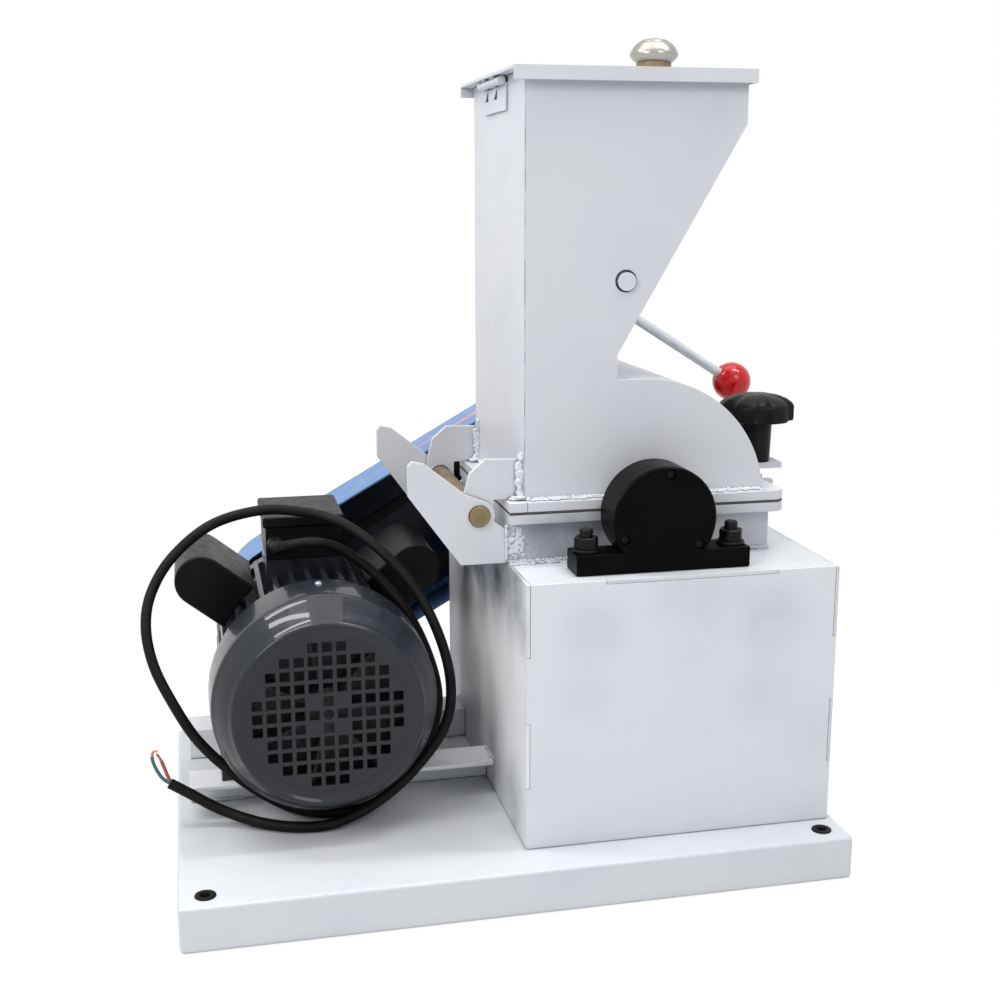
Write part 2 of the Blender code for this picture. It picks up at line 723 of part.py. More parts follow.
def make_mesh_tube(name, points, radius):
    """The same tube as a mesh, so that it can be joined to another piece."""
    tube = make_tube(name, points, radius, None)
    bpy.context.view_layer.update()
    graph = bpy.context.evaluated_depsgraph_get()
    mesh = bpy.data.meshes.new_from_object(tube.evaluated_get(graph))
    bpy.data.objects.remove(tube, do_unlink=True)
    weld(mesh)
    return add_mesh_object(name, mesh, None)


def smooth_route(points, step):
    """Even points on a smooth curve through the route's own points."""
    dense = []
    for i in range(len(points) - 1):
        before = Vector(points[max(i - 1, 0)])
        start = Vector(points[i])
        end = Vector(points[i + 1])
        after = Vector(points[min(i + 2, len(points) - 1)])
        for k in range(12):
            t = k / 12
            place = 0.5 * (
                2 * start
                + (end - before) * t
                + (2 * before - 5 * start + 4 * end - after) * t * t
                + (3 * start - before - 3 * end + after) * t * t * t
            )
            dense.append(place)
    dense.append(Vector(points[-1]))
    lengths = [0.0]
    for a, b in zip(dense, dense[1:]):
        lengths.append(lengths[-1] + (b - a).length)
    count = round(lengths[-1] / step)
    result = []
    index = 0
    for n in range(count + 1):
        wanted = lengths[-1] * n / count
        while index < len(dense) - 2 and lengths[index + 1] < wanted:
            index += 1
        share = (wanted - lengths[index]) / (lengths[index + 1] - lengths[index])
        result.append(tuple(dense[index].lerp(dense[index + 1], share)))
    return result


def loop_outline(first, first_radius, second, second_radius, count=24):
    """The outline of a belt round two circles, as a closed list of points."""
    along = Vector(second) - Vector(first)
    heading = math.atan2(along.y, along.x)
    lean = math.acos((first_radius - second_radius) / along.length)
    points = circle_points(
        first, first_radius, count, heading + lean, 2 * (math.pi - lean), closed=False
    )
    points += circle_points(second, second_radius, count, heading - lean, 2 * lean, closed=False)
    return points


# Sub-assemblies


def build_base(machine):
    """The folded sheet pan that everything stands on."""
    base = make_box("base_pan", (0, 0, 0), (BASE_WIDTH, BASE_DEPTH, BASE_HEIGHT), WHITE)
    add_bevel(base, BASE_EDGE_RADIUS)
    hollow = make_box(
        "pan_hollow",
        (SHEET, SHEET, SHEET),
        (BASE_WIDTH - SHEET, BASE_DEPTH - SHEET, BASE_HEIGHT - SHEET),
    )
    mouth = make_box(
        "pan_mouth",
        (BASE_LIP, BASE_LIP, -SHEET),
        (BASE_WIDTH - BASE_LIP, BASE_DEPTH - BASE_LIP, BASE_HEIGHT / 2),
    )
    holes = []
    left = FIXING_HOLE_INSET_X
    front = FIXING_HOLE_INSET_Y
    right = BASE_WIDTH - FIXING_HOLE_INSET_X
    back = BASE_DEPTH - FIXING_HOLE_INSET_Y
    for x, y in ((left, front), (right, front), (left, back)):
        start = (x, y, BASE_HEIGHT / 2)
        holes.append(make_rod("fixing_hole", start, BASE_HEIGHT, FIXING_HOLE_RADIUS, "Z", steps=24))
    cut(base, hollow, mouth, *holes)
    attach(base, machine)


def finger_edge(coordinate, inner, levels, low, high):
    """The points up one side of a panel whose even fingers reach the outer coordinate."""
    points = []
    reach = True
    level = low
    for upper in (*levels, high):
        edge = coordinate if reach else inner
        start = level if level == low else level + (SEAT_GAP / 2 if reach else -SEAT_GAP / 2)
        end = upper if upper == high else upper - (SEAT_GAP / 2 if reach else -SEAT_GAP / 2)
        points.append((edge, start))
        points.append((edge, end))
        reach = not reach
        level = upper
    return points


def build_stand(machine):
    """The cabinet under the crushing chamber: finger jointed panels, a top plate and a drawer."""
    top = STAND_TOP
    inner = SHEET + SEAT_GAP
    tab_low = TOP_TAB_LEFT
    tab_high = tab_low + TOP_TAB_LENGTH
    left_edge = finger_edge(STAND_LEFT, STAND_LEFT + inner, FINGER_LEVELS, STAND_FLOOR, top)
    right_edge = finger_edge(STAND_RIGHT, STAND_RIGHT - inner, FINGER_LEVELS, STAND_FLOOR, top)
    notch = [
        (tab_low - SEAT_GAP, top),
        (tab_low - SEAT_GAP, top - inner),
        (tab_high + SEAT_GAP, top - inner),
        (tab_high + SEAT_GAP, top),
    ]
    front_outline = list(reversed(left_edge)) + right_edge + list(reversed(notch))
    front = make_plate(
        "stand_front", "XZ", [front_outline], STAND_FRONT, STAND_FRONT + SHEET, WHITE
    )
    attach(front, machine)

    def side_outline(front_reach):
        points = []
        reach = False
        level = STAND_FLOOR
        for upper in (*FINGER_LEVELS, top):
            edge = STAND_FRONT if reach else front_reach
            start = level if level == STAND_FLOOR else level + (SEAT_GAP / 2 if reach else -SEAT_GAP / 2)
            end = upper if upper == top else upper - (SEAT_GAP / 2 if reach else -SEAT_GAP / 2)
            points.append((edge, start))
            points.append((edge, end))
            reach = not reach
            level = upper
        back = STAND_BACK - inner
        return points + [(back, top), (back, STAND_FLOOR)]

    outline = side_outline(STAND_FRONT + inner)
    left = make_plate("stand_left", "YZ", [outline], STAND_LEFT, STAND_LEFT + SHEET, WHITE)
    attach(left, machine)
    drawer_y = (STAND_FRONT + STAND_BACK) / 2
    drawer_low = (drawer_y - DRAWER_WIDTH / 2, DRAWER_BOTTOM)
    drawer_high = (drawer_y + DRAWER_WIDTH / 2, DRAWER_BOTTOM + DRAWER_HEIGHT)
    mouth = [
        drawer_low,
        (drawer_high[0], drawer_low[1]),
        drawer_high,
        (drawer_low[0], drawer_high[1]),
    ]
    right = make_plate(
        "stand_right", "YZ", [outline, mouth], STAND_RIGHT - SHEET, STAND_RIGHT, WHITE
    )
    attach(right, machine)
    top_outline = [
        (STAND_LEFT + inner, STAND_FRONT + inner),
        (STAND_RIGHT - inner, STAND_FRONT + inner),
        (STAND_RIGHT - inner, STAND_BACK - SHEET / 2),
        (STAND_LEFT + inner, STAND_BACK - SHEET / 2),
    ]
    reach = GRATE_RADIUS + GRATE_THICKNESS + GRATE_THROAT_GAP
    throat = [
        (ROTOR_X - reach, HOUSING_FRONT + HOUSING_WALL),
        (ROTOR_X + reach, HOUSING_FRONT + HOUSING_WALL),
        (ROTOR_X + reach, HOUSING_BACK - HOUSING_WALL),
        (ROTOR_X - reach, HOUSING_BACK - HOUSING_WALL),
    ]
    plate = make_plate("stand_top", "XY", [top_outline, throat], top - SHEET, top, WHITE)
    back_low = (STAND_LEFT, STAND_BACK - SHEET, STAND_FLOOR)
    back_high = (STAND_RIGHT, STAND_BACK, top - SEAT_GAP)
    join(plate, make_box("stand_back", back_low, back_high))
    tab_front = (tab_low, STAND_FRONT, top - SHEET)
    join(plate, make_box("top_tab", tab_front, (tab_high, STAND_FRONT + 2 * inner, top)))
    attach(plate, machine)

    drawer = make_box(
        "collecting_drawer",
        (STAND_RIGHT - SHEET, drawer_low[0] + RUN_GAP, drawer_low[1] + RUN_GAP),
        (STAND_RIGHT, drawer_high[0] - RUN_GAP, drawer_high[1] - RUN_GAP),
        WHITE,
    )
    tray_right = STAND_RIGHT - SHEET / 2
    tray_left = tray_right - TRAY_DEPTH
    tray_low = drawer_low[0] + RUN_GAP
    tray_high = drawer_high[0] - RUN_GAP
    tray_floor = DRAWER_BOTTOM + RUN_GAP
    tray = make_box(
        "drawer_tray",
        (tray_left, tray_low, tray_floor),
        (tray_right, tray_high, tray_floor + TRAY_HEIGHT),
    )
    tray_hollow = make_box(
        "tray_hollow",
        (tray_left + TRAY_WALL, tray_low + TRAY_WALL, tray_floor + TRAY_WALL),
        (STAND_RIGHT - SHEET, tray_high - TRAY_WALL, tray_floor + TRAY_HEIGHT + TRAY_WALL),
    )
    join(drawer, tray)
    for y in (tray_low, tray_high - RUNNER_WIDTH):
        runner = make_box(
            "drawer_runner",
            (tray_left, y, STAND_FLOOR),
            (STAND_RIGHT - SHEET - 2 * SEAT_GAP, y + RUNNER_WIDTH, tray_floor + TRAY_WALL / 2),
        )
        join(drawer, runner)
    cut(drawer, tray_hollow)
    handle_z = DRAWER_BOTTOM + DRAWER_HEIGHT / 2
    handle_x = STAND_RIGHT - SHEET / 2
    bend = HANDLE_REACH / 3
    points = [(handle_x, drawer_y - HANDLE_LENGTH / 2, handle_z)]
    for turn in range(5):
        angle = math.pi / 2 * turn / 4
        points.append(
            (
                handle_x + HANDLE_REACH - bend + bend * math.sin(angle),
                drawer_y - HANDLE_LENGTH / 2 + bend - bend * math.cos(angle),
                handle_z,
            )
        )
    points += [(x, 2 * drawer_y - y, z) for x, y, z in reversed(points)]
    join(drawer, make_mesh_tube("drawer_handle", points, HANDLE_RADIUS))
    attach(drawer, machine)


def shaft_cutter(radius):
    """A long cylinder on the rotor's axis."""
    start = (ROTOR_X, FLANGE_FRONT - CUT_OVERRUN, ROTOR_Z)
    length = FLANGE_BACK - FLANGE_FRONT + 2 * CUT_OVERRUN
    return make_rod("shaft_cutter", start, length, radius, "Y", steps=48)


def flange_outline(left, right, front, back, chamfer):
    """A rectangle with its right corners cut."""
    return [
        (left, front),
        (right - chamfer, front),
        (right, front + chamfer),
        (right, back - chamfer),
        (right - chamfer, back),
        (left, back),
    ]


def build_lower_housing(machine):
    """The fixed lower half of the chamber, its flange, the gasket halves and the clamp tab."""
    wall = HOUSING_WALL
    housing = make_box(
        "lower_housing",
        (HOUSING_LEFT, HOUSING_FRONT, HOUSING_FLOOR),
        (HOUSING_RIGHT, HOUSING_BACK, LOWER_FLANGE_TOP - LOWER_FLANGE_THICKNESS / 2),
        WHITE,
    )
    outline = flange_outline(FLANGE_LEFT, FLANGE_RIGHT, FLANGE_FRONT, FLANGE_BACK, FLANGE_CHAMFER)
    flange = make_plate(
        "lower_flange", "XY", [outline], LOWER_FLANGE_TOP - LOWER_FLANGE_THICKNESS, LOWER_FLANGE_TOP
    )
    cavity = make_box(
        "lower_cavity",
        (HOUSING_LEFT + wall, HOUSING_FRONT + wall, HOUSING_FLOOR - wall),
        (HOUSING_RIGHT - wall, HOUSING_BACK - wall, LOWER_FLANGE_TOP + wall),
    )
    half = LOWER_TAB_WIDTH / 2
    notch_half = CLAMP_NOTCH_WIDTH / 2
    right = CLAMP_X + LOWER_TAB_REACH
    inside = FLANGE_RIGHT - FLANGE_CHAMFER
    slot = circle_points((CLAMP_X, TAB_Y), notch_half, 13, math.radians(270), -math.pi, closed=False)
    tab_outline = [(inside, TAB_Y - half), (right, TAB_Y - half), (right, TAB_Y - notch_half)]
    tab_outline += slot
    tab_outline += [(right, TAB_Y + notch_half), (right, TAB_Y + half), (inside, TAB_Y + half)]
    tab = make_plate(
        "lower_clamp_tab",
        "XY",
        [tab_outline],
        LOWER_FLANGE_TOP - LOWER_FLANGE_THICKNESS,
        LOWER_FLANGE_TOP,
    )
    join(housing, flange, tab)
    cut(housing, cavity, shaft_cutter(SHAFT_NOTCH_RADIUS))
    attach(housing, machine)

    inner_left = HOUSING_LEFT + wall
    inner_right = HOUSING_RIGHT - wall
    inner_front = HOUSING_FRONT + wall
    inner_back = HOUSING_BACK - wall
    notch = SHAFT_NOTCH_RADIUS + SHAFT_GASKET_GAP
    left_half = [
        (FLANGE_LEFT, FLANGE_FRONT),
        (ROTOR_X - notch, FLANGE_FRONT),
        (ROTOR_X - notch, inner_front),
        (inner_left, inner_front),
        (inner_left, inner_back),
        (ROTOR_X - notch, inner_back),
        (ROTOR_X - notch, FLANGE_BACK),
        (FLANGE_LEFT, FLANGE_BACK),
    ]
    right_half = [
        (ROTOR_X + notch, FLANGE_FRONT),
        (FLANGE_RIGHT - FLANGE_CHAMFER, FLANGE_FRONT),
        (FLANGE_RIGHT, FLANGE_FRONT + FLANGE_CHAMFER),
        (FLANGE_RIGHT, FLANGE_BACK - FLANGE_CHAMFER),
        (FLANGE_RIGHT - FLANGE_CHAMFER, FLANGE_BACK),
        (ROTOR_X + notch, FLANGE_BACK),
        (ROTOR_X + notch, inner_back),
        (inner_right, inner_back),
        (inner_right, inner_front),
        (ROTOR_X + notch, inner_front),
    ]
    for name, points in (("gasket_left", left_half), ("gasket_right", right_half)):
        gasket = make_plate(
            name, "XY", [points], GASKET_BOTTOM, GASKET_BOTTOM + GASKET_THICKNESS, GASKET_BROWN
        )
        attach(gasket, machine)


def shell_profile(inset):
    """The hopper and drum outline, drawn in by an inset and left open towards top and bottom."""
    slope = math.atan2(SHOULDER_Z - NECK_TOP, HOPPER_RIGHT - NECK_X)
    corner = inset * math.tan((math.pi / 2 - slope) / 2)
    open_low = UPPER_FLANGE_BOTTOM + UPPER_FLANGE_THICKNESS / 2 - 4 * inset
    open_high = HOPPER_TOP + 2 * inset
    outline = [
        (HOPPER_LEFT + inset, open_low),
        (HOPPER_LEFT + inset, open_high),
        (HOPPER_RIGHT - inset, open_high),
        (HOPPER_RIGHT - inset, SHOULDER_Z + corner),
        (NECK_X - inset, NECK_TOP + corner),
        (NECK_X - inset, DRUM_TOP - inset),
    ]
    radius = DRUM_RADIUS - inset
    low_angle = math.asin(max(open_low - ROTOR_Z, 0.0) / radius)
    outline += circle_points(
        (ROTOR_X, ROTOR_Z), radius, 25, math.pi / 2, low_angle - math.pi / 2, closed=False
    )
    if open_low < ROTOR_Z:
        outline.append((ROTOR_X + radius, open_low))
    return outline


def build_upper_housing(pivot):
    """Hopper, drum cover and upper flange, which swing as one, with the tab and the hinge plates."""
    profile = shell_profile(0.0)
    shell = make_plate("hopper_shell", "XZ", [profile], HOUSING_FRONT, HOUSING_BACK, WHITE)
    outline = flange_outline(FLANGE_LEFT, FLANGE_RIGHT, FLANGE_FRONT, FLANGE_BACK, FLANGE_CHAMFER)
    flange = make_plate("upper_flange", "XY", [outline], UPPER_FLANGE_BOTTOM, UPPER_FLANGE_TOP)
    inside = make_plate(
        "shell_inside",
        "XZ",
        [shell_profile(SHELL_WALL)],
        HOUSING_FRONT + SHELL_WALL,
        HOUSING_BACK - SHELL_WALL,
    )
    bore = make_rod(
        "gate_bore",
        (GATE_X, HOUSING_FRONT - CUT_OVERRUN, GATE_Z),
        HOUSING_DEPTH + 2 * CUT_OVERRUN,
        GATE_SHAFT_RADIUS + RUN_GAP,
        "Y",
    )
    half = TAB_WIDTH / 2
    hole = circle_points((CLAMP_X, TAB_Y), STUD_RADIUS + RUN_GAP, 24)
    tab_outline = [
        (TAB_LEFT, TAB_Y - half),
        (TAB_RIGHT, TAB_Y - half),
        (TAB_RIGHT, TAB_Y + half),
        (TAB_LEFT, TAB_Y + half),
    ]
    overlap = UPPER_FLANGE_THICKNESS / 2
    tab = make_plate(
        "upper_clamp_tab",
        "XY",
        [tab_outline, hole],
        UPPER_FLANGE_TOP,
        UPPER_FLANGE_TOP + UPPER_TAB_THICKNESS,
    )
    weld = make_box(
        "tab_weld",
        (TAB_LEFT, TAB_Y - half, UPPER_FLANGE_TOP - overlap),
        (FLANGE_RIGHT - FLANGE_CHAMFER, TAB_Y + half, UPPER_FLANGE_TOP + UPPER_TAB_THICKNESS / 2),
    )
    join(tab, weld)
    join(shell, flange, tab)
    cut(shell, inside, shaft_cutter(SHAFT_NOTCH_RADIUS), bore)
    attach(shell, pivot)


def upper_hinge_outline():
    """The plate from the hopper's left wall down to the pin."""
    wall = HOPPER_LEFT - SEAT_GAP
    rest = UPPER_FLANGE_TOP + SEAT_GAP
    boss = circle_points(
        (PIN_X, PIN_Z), HINGE_BOSS_RADIUS, 17, math.radians(165), math.radians(200), closed=False
    )
    edge = [(PIN_X + x, PIN_Z + z) for x, z in UPPER_PLATE_POINTS]
    return [(wall, rest), (wall, PIN_Z + UPPER_PLATE_RISE), *edge, *boss, (PIN_X + HINGE_BOSS_RADIUS, rest)]


def lower_hinge_outline():
    """The long plate from the lower housing past the pin, whose top edge catches the opened hopper."""
    wall = HOUSING_LEFT - SEAT_GAP
    boss = circle_points(
        (PIN_X, PIN_Z), HINGE_BOSS_RADIUS, 9, math.radians(58), math.radians(-80), closed=False
    )
    edge = [(PIN_X + x, PIN_Z + z) for x, z in LOWER_PLATE_POINTS]
    foot = [(wall, HOUSING_FLOOR), (PIN_X - LOWER_PLATE_FOOT, HOUSING_FLOOR)]
    return [*foot, *edge, *boss, (wall, PIN_Z - LOWER_PLATE_DROP)]


def build_housing_hinge(machine, pivot):
    """Two pairs of plates and the pin that the hopper swings about."""
    front = HOUSING_FRONT
    back = HOUSING_BACK - HINGE_BACK_INSET
    step = HINGE_PLATE + HINGE_PLATE_GAP
    fixed_hole = circle_points((PIN_X, PIN_Z), PIN_RADIUS + SEAT_GAP, 32)
    moving_hole = circle_points((PIN_X, PIN_Z), PIN_RADIUS + RUN_GAP, 32)
    plates = (
        ("lower_hinge_plate_front", lower_hinge_outline(), fixed_hole, front, machine),
        ("lower_hinge_plate_back", lower_hinge_outline(), fixed_hole, back - HINGE_PLATE, machine),
        ("upper_hinge_plate_front", upper_hinge_outline(), moving_hole, front + step, pivot),
        ("upper_hinge_plate_back", upper_hinge_outline(), moving_hole, back - HINGE_PLATE - step, pivot),
    )
    for name, outline, hole, low, parent in plates:
        plate = make_plate(name, "XZ", [outline, hole], low, low + HINGE_PLATE, WHITE)
        attach(plate, parent)
    start = (PIN_X, front - PIN_PROUD, PIN_Z)
    pin = make_rod("hinge_pin", start, back - front + 2 * PIN_PROUD, PIN_RADIUS, "Y", ZINC)
    attach(pin, machine)


def build_lid(hopper_pivot, lid_pivot):
    """The folded lid with its skirts, the small hinge and the turned knob."""
    skirt_z = LID_TOP - LID_SKIRT
    lid = make_box("lid", (LID_LEFT, LID_FRONT, skirt_z), (LID_RIGHT, LID_BACK, LID_TOP), WHITE)
    hollow = make_box(
        "lid_hollow",
        (LID_LEFT - LID_SKIRT, LID_FRONT + LID_SHEET, skirt_z - LID_SKIRT),
        (LID_RIGHT - LID_SHEET, LID_BACK - LID_SHEET, LID_TOP - LID_SHEET),
    )
    cut(lid, hollow)

    knob_profile = [(0.0, LID_KNOB_HEIGHT)]
    knob_profile += [
        (radius * LID_KNOB_RADIUS, height * LID_KNOB_HEIGHT) for radius, height in LID_KNOB_PROFILE
    ]
    knob = make_turned(
        "lid_knob", knob_profile, (LID_KNOB_X, MID_DEPTH, LID_TOP + SEAT_GAP), "Z", NICKEL, steps=36
    )
    attach(knob, lid_pivot)

    start = LID_HINGE_START
    length = LID_HINGE_LENGTH / LID_HINGE_KNUCKLES
    gap = RUN_GAP
    inset = RUN_GAP / 2
    wall_leaf = make_box(
        "hopper_hinge_leaf",
        (HOPPER_LEFT - SEAT_GAP - LID_HINGE_LEAF, start, LID_HINGE_Z - LID_HINGE_LEAF_HEIGHT),
        (HOPPER_LEFT - SEAT_GAP, start + LID_HINGE_LENGTH, LID_HINGE_Z - LID_HINGE_RADIUS / 2),
        WHITE,
    )
    lid_leaf = make_box(
        "lid_hinge_leaf",
        (LID_HINGE_X - LID_HINGE_RADIUS, start, LID_HINGE_Z + LID_HINGE_RADIUS - LID_HINGE_LEAF / 2),
        (HOPPER_LEFT - RUN_GAP, start + LID_HINGE_LENGTH, LID_TOP - LID_SHEET / 2),
    )
    for index in range(LID_HINGE_KNUCKLES):
        low = start + index * length + gap / 2
        leaf = wall_leaf if index % 2 == 0 else lid_leaf
        knuckle = make_rod(
            "knuckle", (LID_HINGE_X, low, LID_HINGE_Z), length - gap, LID_HINGE_RADIUS, "Y", steps=12
        )
        clearance = LID_HINGE_RADIUS + RUN_GAP
        other = lid_leaf if leaf is wall_leaf else wall_leaf
        room = make_box(
            "knuckle_room",
            (LID_HINGE_X - clearance, low - gap, LID_HINGE_Z - clearance),
            (LID_HINGE_X + clearance, low + length, LID_HINGE_Z + clearance),
        )
        cut(other, room)
        if leaf is wall_leaf:
            web = make_box(
                "knuckle_web",
                (LID_HINGE_X, low + inset, LID_HINGE_Z - LID_HINGE_RADIUS),
                (
                    HOPPER_LEFT - SEAT_GAP - inset,
                    low + length - gap - inset,
                    LID_HINGE_Z - LID_HINGE_RADIUS / 2,
                ),
            )
        else:
            web = make_box(
                "knuckle_web",
                (LID_HINGE_X - LID_HINGE_RADIUS / 2, low + inset, LID_HINGE_Z + LID_HINGE_PIN_RADIUS),
                (
                    LID_HINGE_X + LID_HINGE_RADIUS / 2,
                    low + length - gap - inset,
                    LID_HINGE_Z + LID_HINGE_RADIUS + LID_HINGE_LEAF / 4,
                ),
            )
        join(leaf, web, knuckle)
    hole = make_rod(
        "pin_hole",
        (LID_HINGE_X, start - CUT_OVERRUN, LID_HINGE_Z),
        LID_HINGE_LENGTH + 2 * CUT_OVERRUN,
        LID_HINGE_PIN_RADIUS + RUN_GAP,
        "Y",
        steps=16,
    )
    cut(lid_leaf, hole)
    pin_margin = RUN_GAP
    pin = make_rod(
        "lid_hinge_pin",
        (LID_HINGE_X, start + pin_margin, LID_HINGE_Z),
        LID_HINGE_LENGTH - 2 * pin_margin,
        LID_HINGE_PIN_RADIUS,
        "Y",
        steps=16,
    )
    join(wall_leaf, pin)
    attach(wall_leaf, hopper_pivot)
    join(lid, lid_leaf)
    attach(lid, lid_pivot)


def build_gate(pivot):
    """The shaft through the hopper with its flap inside and its lever behind."""
    start = HOUSING_FRONT - GATE_SHAFT_PROUD
    end = LEVER_Y + LEVER_HUB_LENGTH / 2
    shaft = make_rod("gate_flap", (GATE_X, start, GATE_Z), end - start, GATE_SHAFT_RADIUS, "Y", STEEL)
    inside = SHELL_WALL + GATE_SIDE_GAP
    flap = make_box(
        "flap",
        (GATE_X - GATE_FLAP_LENGTH, HOUSING_FRONT + inside, GATE_Z - GATE_FLAP_THICKNESS / 2),
        (GATE_X + GATE_FLAP_TAIL, HOUSING_BACK - inside, GATE_Z + GATE_FLAP_THICKNESS / 2),
    )
    join(shaft, flap)
    attach(shaft, pivot)
    hub_profile = [
        (GATE_SHAFT_RADIUS + SEAT_GAP, LEVER_HUB_LENGTH),
        (LEVER_HUB_RADIUS, LEVER_HUB_LENGTH),
        (LEVER_HUB_RADIUS, 0.0),
        (GATE_SHAFT_RADIUS + SEAT_GAP, 0.0),
    ]
    hub = make_turned(
        "gate_lever", hub_profile, (GATE_X, LEVER_Y - LEVER_HUB_LENGTH / 2, GATE_Z), "Y", STEEL, closed=True
    )
    direction = Vector((math.cos(LEVER_ANGLE), 0.0, math.sin(LEVER_ANGLE)))
    centre = Vector((GATE_X, LEVER_Y, GATE_Z))
    rod_start = centre + direction * (LEVER_HUB_RADIUS - LEVER_ROD_SINK)
    rod_end = centre + direction * (LEVER_LENGTH - LEVER_BALL_SOCKET)
    rod = make_rod("lever_rod", (0, 0, 0), (rod_end - rod_start).length, LEVER_ROD_RADIUS, "Z")
    turn = direction.to_track_quat("Z", "Y").to_matrix().to_4x4()
    rod.matrix_world = Matrix.Translation(rod_start) @ turn
    join(hub, rod)
    attach(hub, pivot)
    ball_profile = [
        (LEVER_BALL_RADIUS * math.cos(angle), LEVER_BALL_RADIUS * math.sin(angle))
        for angle in [math.pi / 2 - math.pi * i / 14 for i in range(15)]
    ]
    ball_profile[0] = (0.0, LEVER_BALL_RADIUS)
    ball_profile[-1] = (0.0, -LEVER_BALL_RADIUS)
    ball = make_turned("lever_ball", ball_profile, (0, 0, 0), "Z", RED, steps=24)
    ball.matrix_world = Matrix.Translation(centre + direction * LEVER_LENGTH) @ turn
    socket = make_rod("socket", (0, 0, 0), LEVER_LENGTH, LEVER_ROD_RADIUS + SEAT_GAP, "Z")
    socket_end = SEAT_GAP - LEVER_BALL_SOCKET
    socket.matrix_world = Matrix.Translation(centre + direction * socket_end) @ turn
    cut(ball, socket)
    attach(ball, pivot)


def star_outline(radius, lobes, turn):
    """A wavy knob outline with rounded lobes."""
    points = []
    count = lobes * 12
    for i in range(count):
        angle = 2 * math.pi * i / count
        wave = 0.5 + 0.5 * math.cos(lobes * angle)
        reach = radius * (0.74 + 0.26 * wave**0.6)
        points.append((CLAMP_X + reach * math.cos(angle + turn), TAB_Y + reach * math.sin(angle + turn)))
    return points


def build_clamp(pivot):
    """The star knob on its stud, which holds the free side of the flanges together."""
    head = make_plate(
        "star_knob",
        "XY",
        [star_outline(STAR_RADIUS, STAR_LOBES, STAR_LOBE_TURN)],
        STAR_TOP - STAR_THICKNESS,
        STAR_TOP,
        KNOB_BLACK,
    )
    dome = [(0.0, STAR_TOP)]
    dome += [
        (STAR_RADIUS * share, STAR_TOP - STAR_DOME_DROP * share * share)
        for share in (0.24, 0.48, 0.72, 0.96, 1.2)
    ]
    dome += [(1.2 * STAR_RADIUS, STAR_TOP - 2 * STAR_THICKNESS), (0.0, STAR_TOP - 2 * STAR_THICKNESS)]
    combine(head, make_turned("dome", dome, (CLAMP_X, TAB_Y, 0.0), "Z", steps=48), "INTERSECT")
    foot = CLAMP_SEAT
    hub_top = STAR_TOP - STAR_THICKNESS + HUB_SINK
    hub_profile = [
        (0.0, hub_top),
        (HUB_TOP_RADIUS, hub_top),
        (HUB_FOOT_RADIUS, foot + HUB_FOOT_EDGE),
        (HUB_FOOT_RADIUS - HUB_FOOT_EDGE, foot),
        (0.0, foot),
    ]
    join(head, make_turned("hub", hub_profile, (CLAMP_X, TAB_Y, 0.0), "Z", steps=32))
    stud_top = foot + STUD_SINK
    stud_profile = [
        (0.0, stud_top),
        (STUD_RADIUS, stud_top),
        (STUD_RADIUS, STUD_BOTTOM + STUD_EDGE),
        (STUD_RADIUS - STUD_EDGE, STUD_BOTTOM),
        (0.0, STUD_BOTTOM),
    ]
    join(head, make_turned("clamp_stud", stud_profile, (CLAMP_X, TAB_Y, 0.0), "Z", steps=24))
    attach(head, pivot)


def build_bearing(name, front, closed_front, machine):
    """A round bearing block on a bolted foot, its bore blind at one end."""
    profile = [
        (0.0, BEARING_DEPTH),
        (BEARING_RADIUS - BEARING_EDGE, BEARING_DEPTH),
        (BEARING_RADIUS, BEARING_DEPTH - BEARING_EDGE),
        (BEARING_RADIUS, BEARING_EDGE),
        (BEARING_RADIUS - BEARING_EDGE, 0.0),
        (0.0, 0.0),
    ]
    block = make_turned(name, profile, (ROTOR_X, front, ROTOR_Z), "Y", BLACK, steps=48)
    foot_front = front if closed_front else front + BEARING_DEPTH - BEARING_FOOT_DEPTH
    foot = make_box(
        "foot",
        (ROTOR_X - BEARING_FOOT_LENGTH / 2, foot_front + SEAT_GAP, HOUSING_FLOOR),
        (
            ROTOR_X + BEARING_FOOT_LENGTH / 2,
            foot_front + BEARING_FOOT_DEPTH - SEAT_GAP,
            HOUSING_FLOOR + BEARING_FOOT_HEIGHT,
        ),
        None,
        BEARING_EDGE,
    )
    join(block, foot)
    below = make_box(
        "below",
        (ROTOR_X - BEARING_FOOT_LENGTH, front - CUT_OVERRUN, HOUSING_FLOOR - CUT_OVERRUN),
        (ROTOR_X + BEARING_FOOT_LENGTH, front + BEARING_DEPTH + CUT_OVERRUN, HOUSING_FLOOR),
    )
    cut(block, below)
    bore_start = front + BEARING_BLIND_END if closed_front else front - CUT_OVERRUN
    bore_length = BEARING_DEPTH + 2 * CUT_OVERRUN
    cut(
        block,
        make_rod(
            "bore", (ROTOR_X, bore_start, ROTOR_Z), bore_length, ROTOR_SHAFT_RADIUS + RUN_GAP, "Y"
        ),
    )
    face = front if closed_front else front + BEARING_DEPTH
    for index in range(3):
        angle = BEARING_SCREW_TURN + 2 * math.pi * index / 3
        place = (
            ROTOR_X + BEARING_SCREW_CIRCLE * math.cos(angle),
            face - BEARING_SCREW_DEPTH,
            ROTOR_Z + BEARING_SCREW_CIRCLE * math.sin(angle),
        )
        cut(
            block,
            make_rod("screw_well", place, 2 * BEARING_SCREW_DEPTH, BEARING_SCREW_RADIUS, "Y", steps=16),
        )
    attach(block, machine)


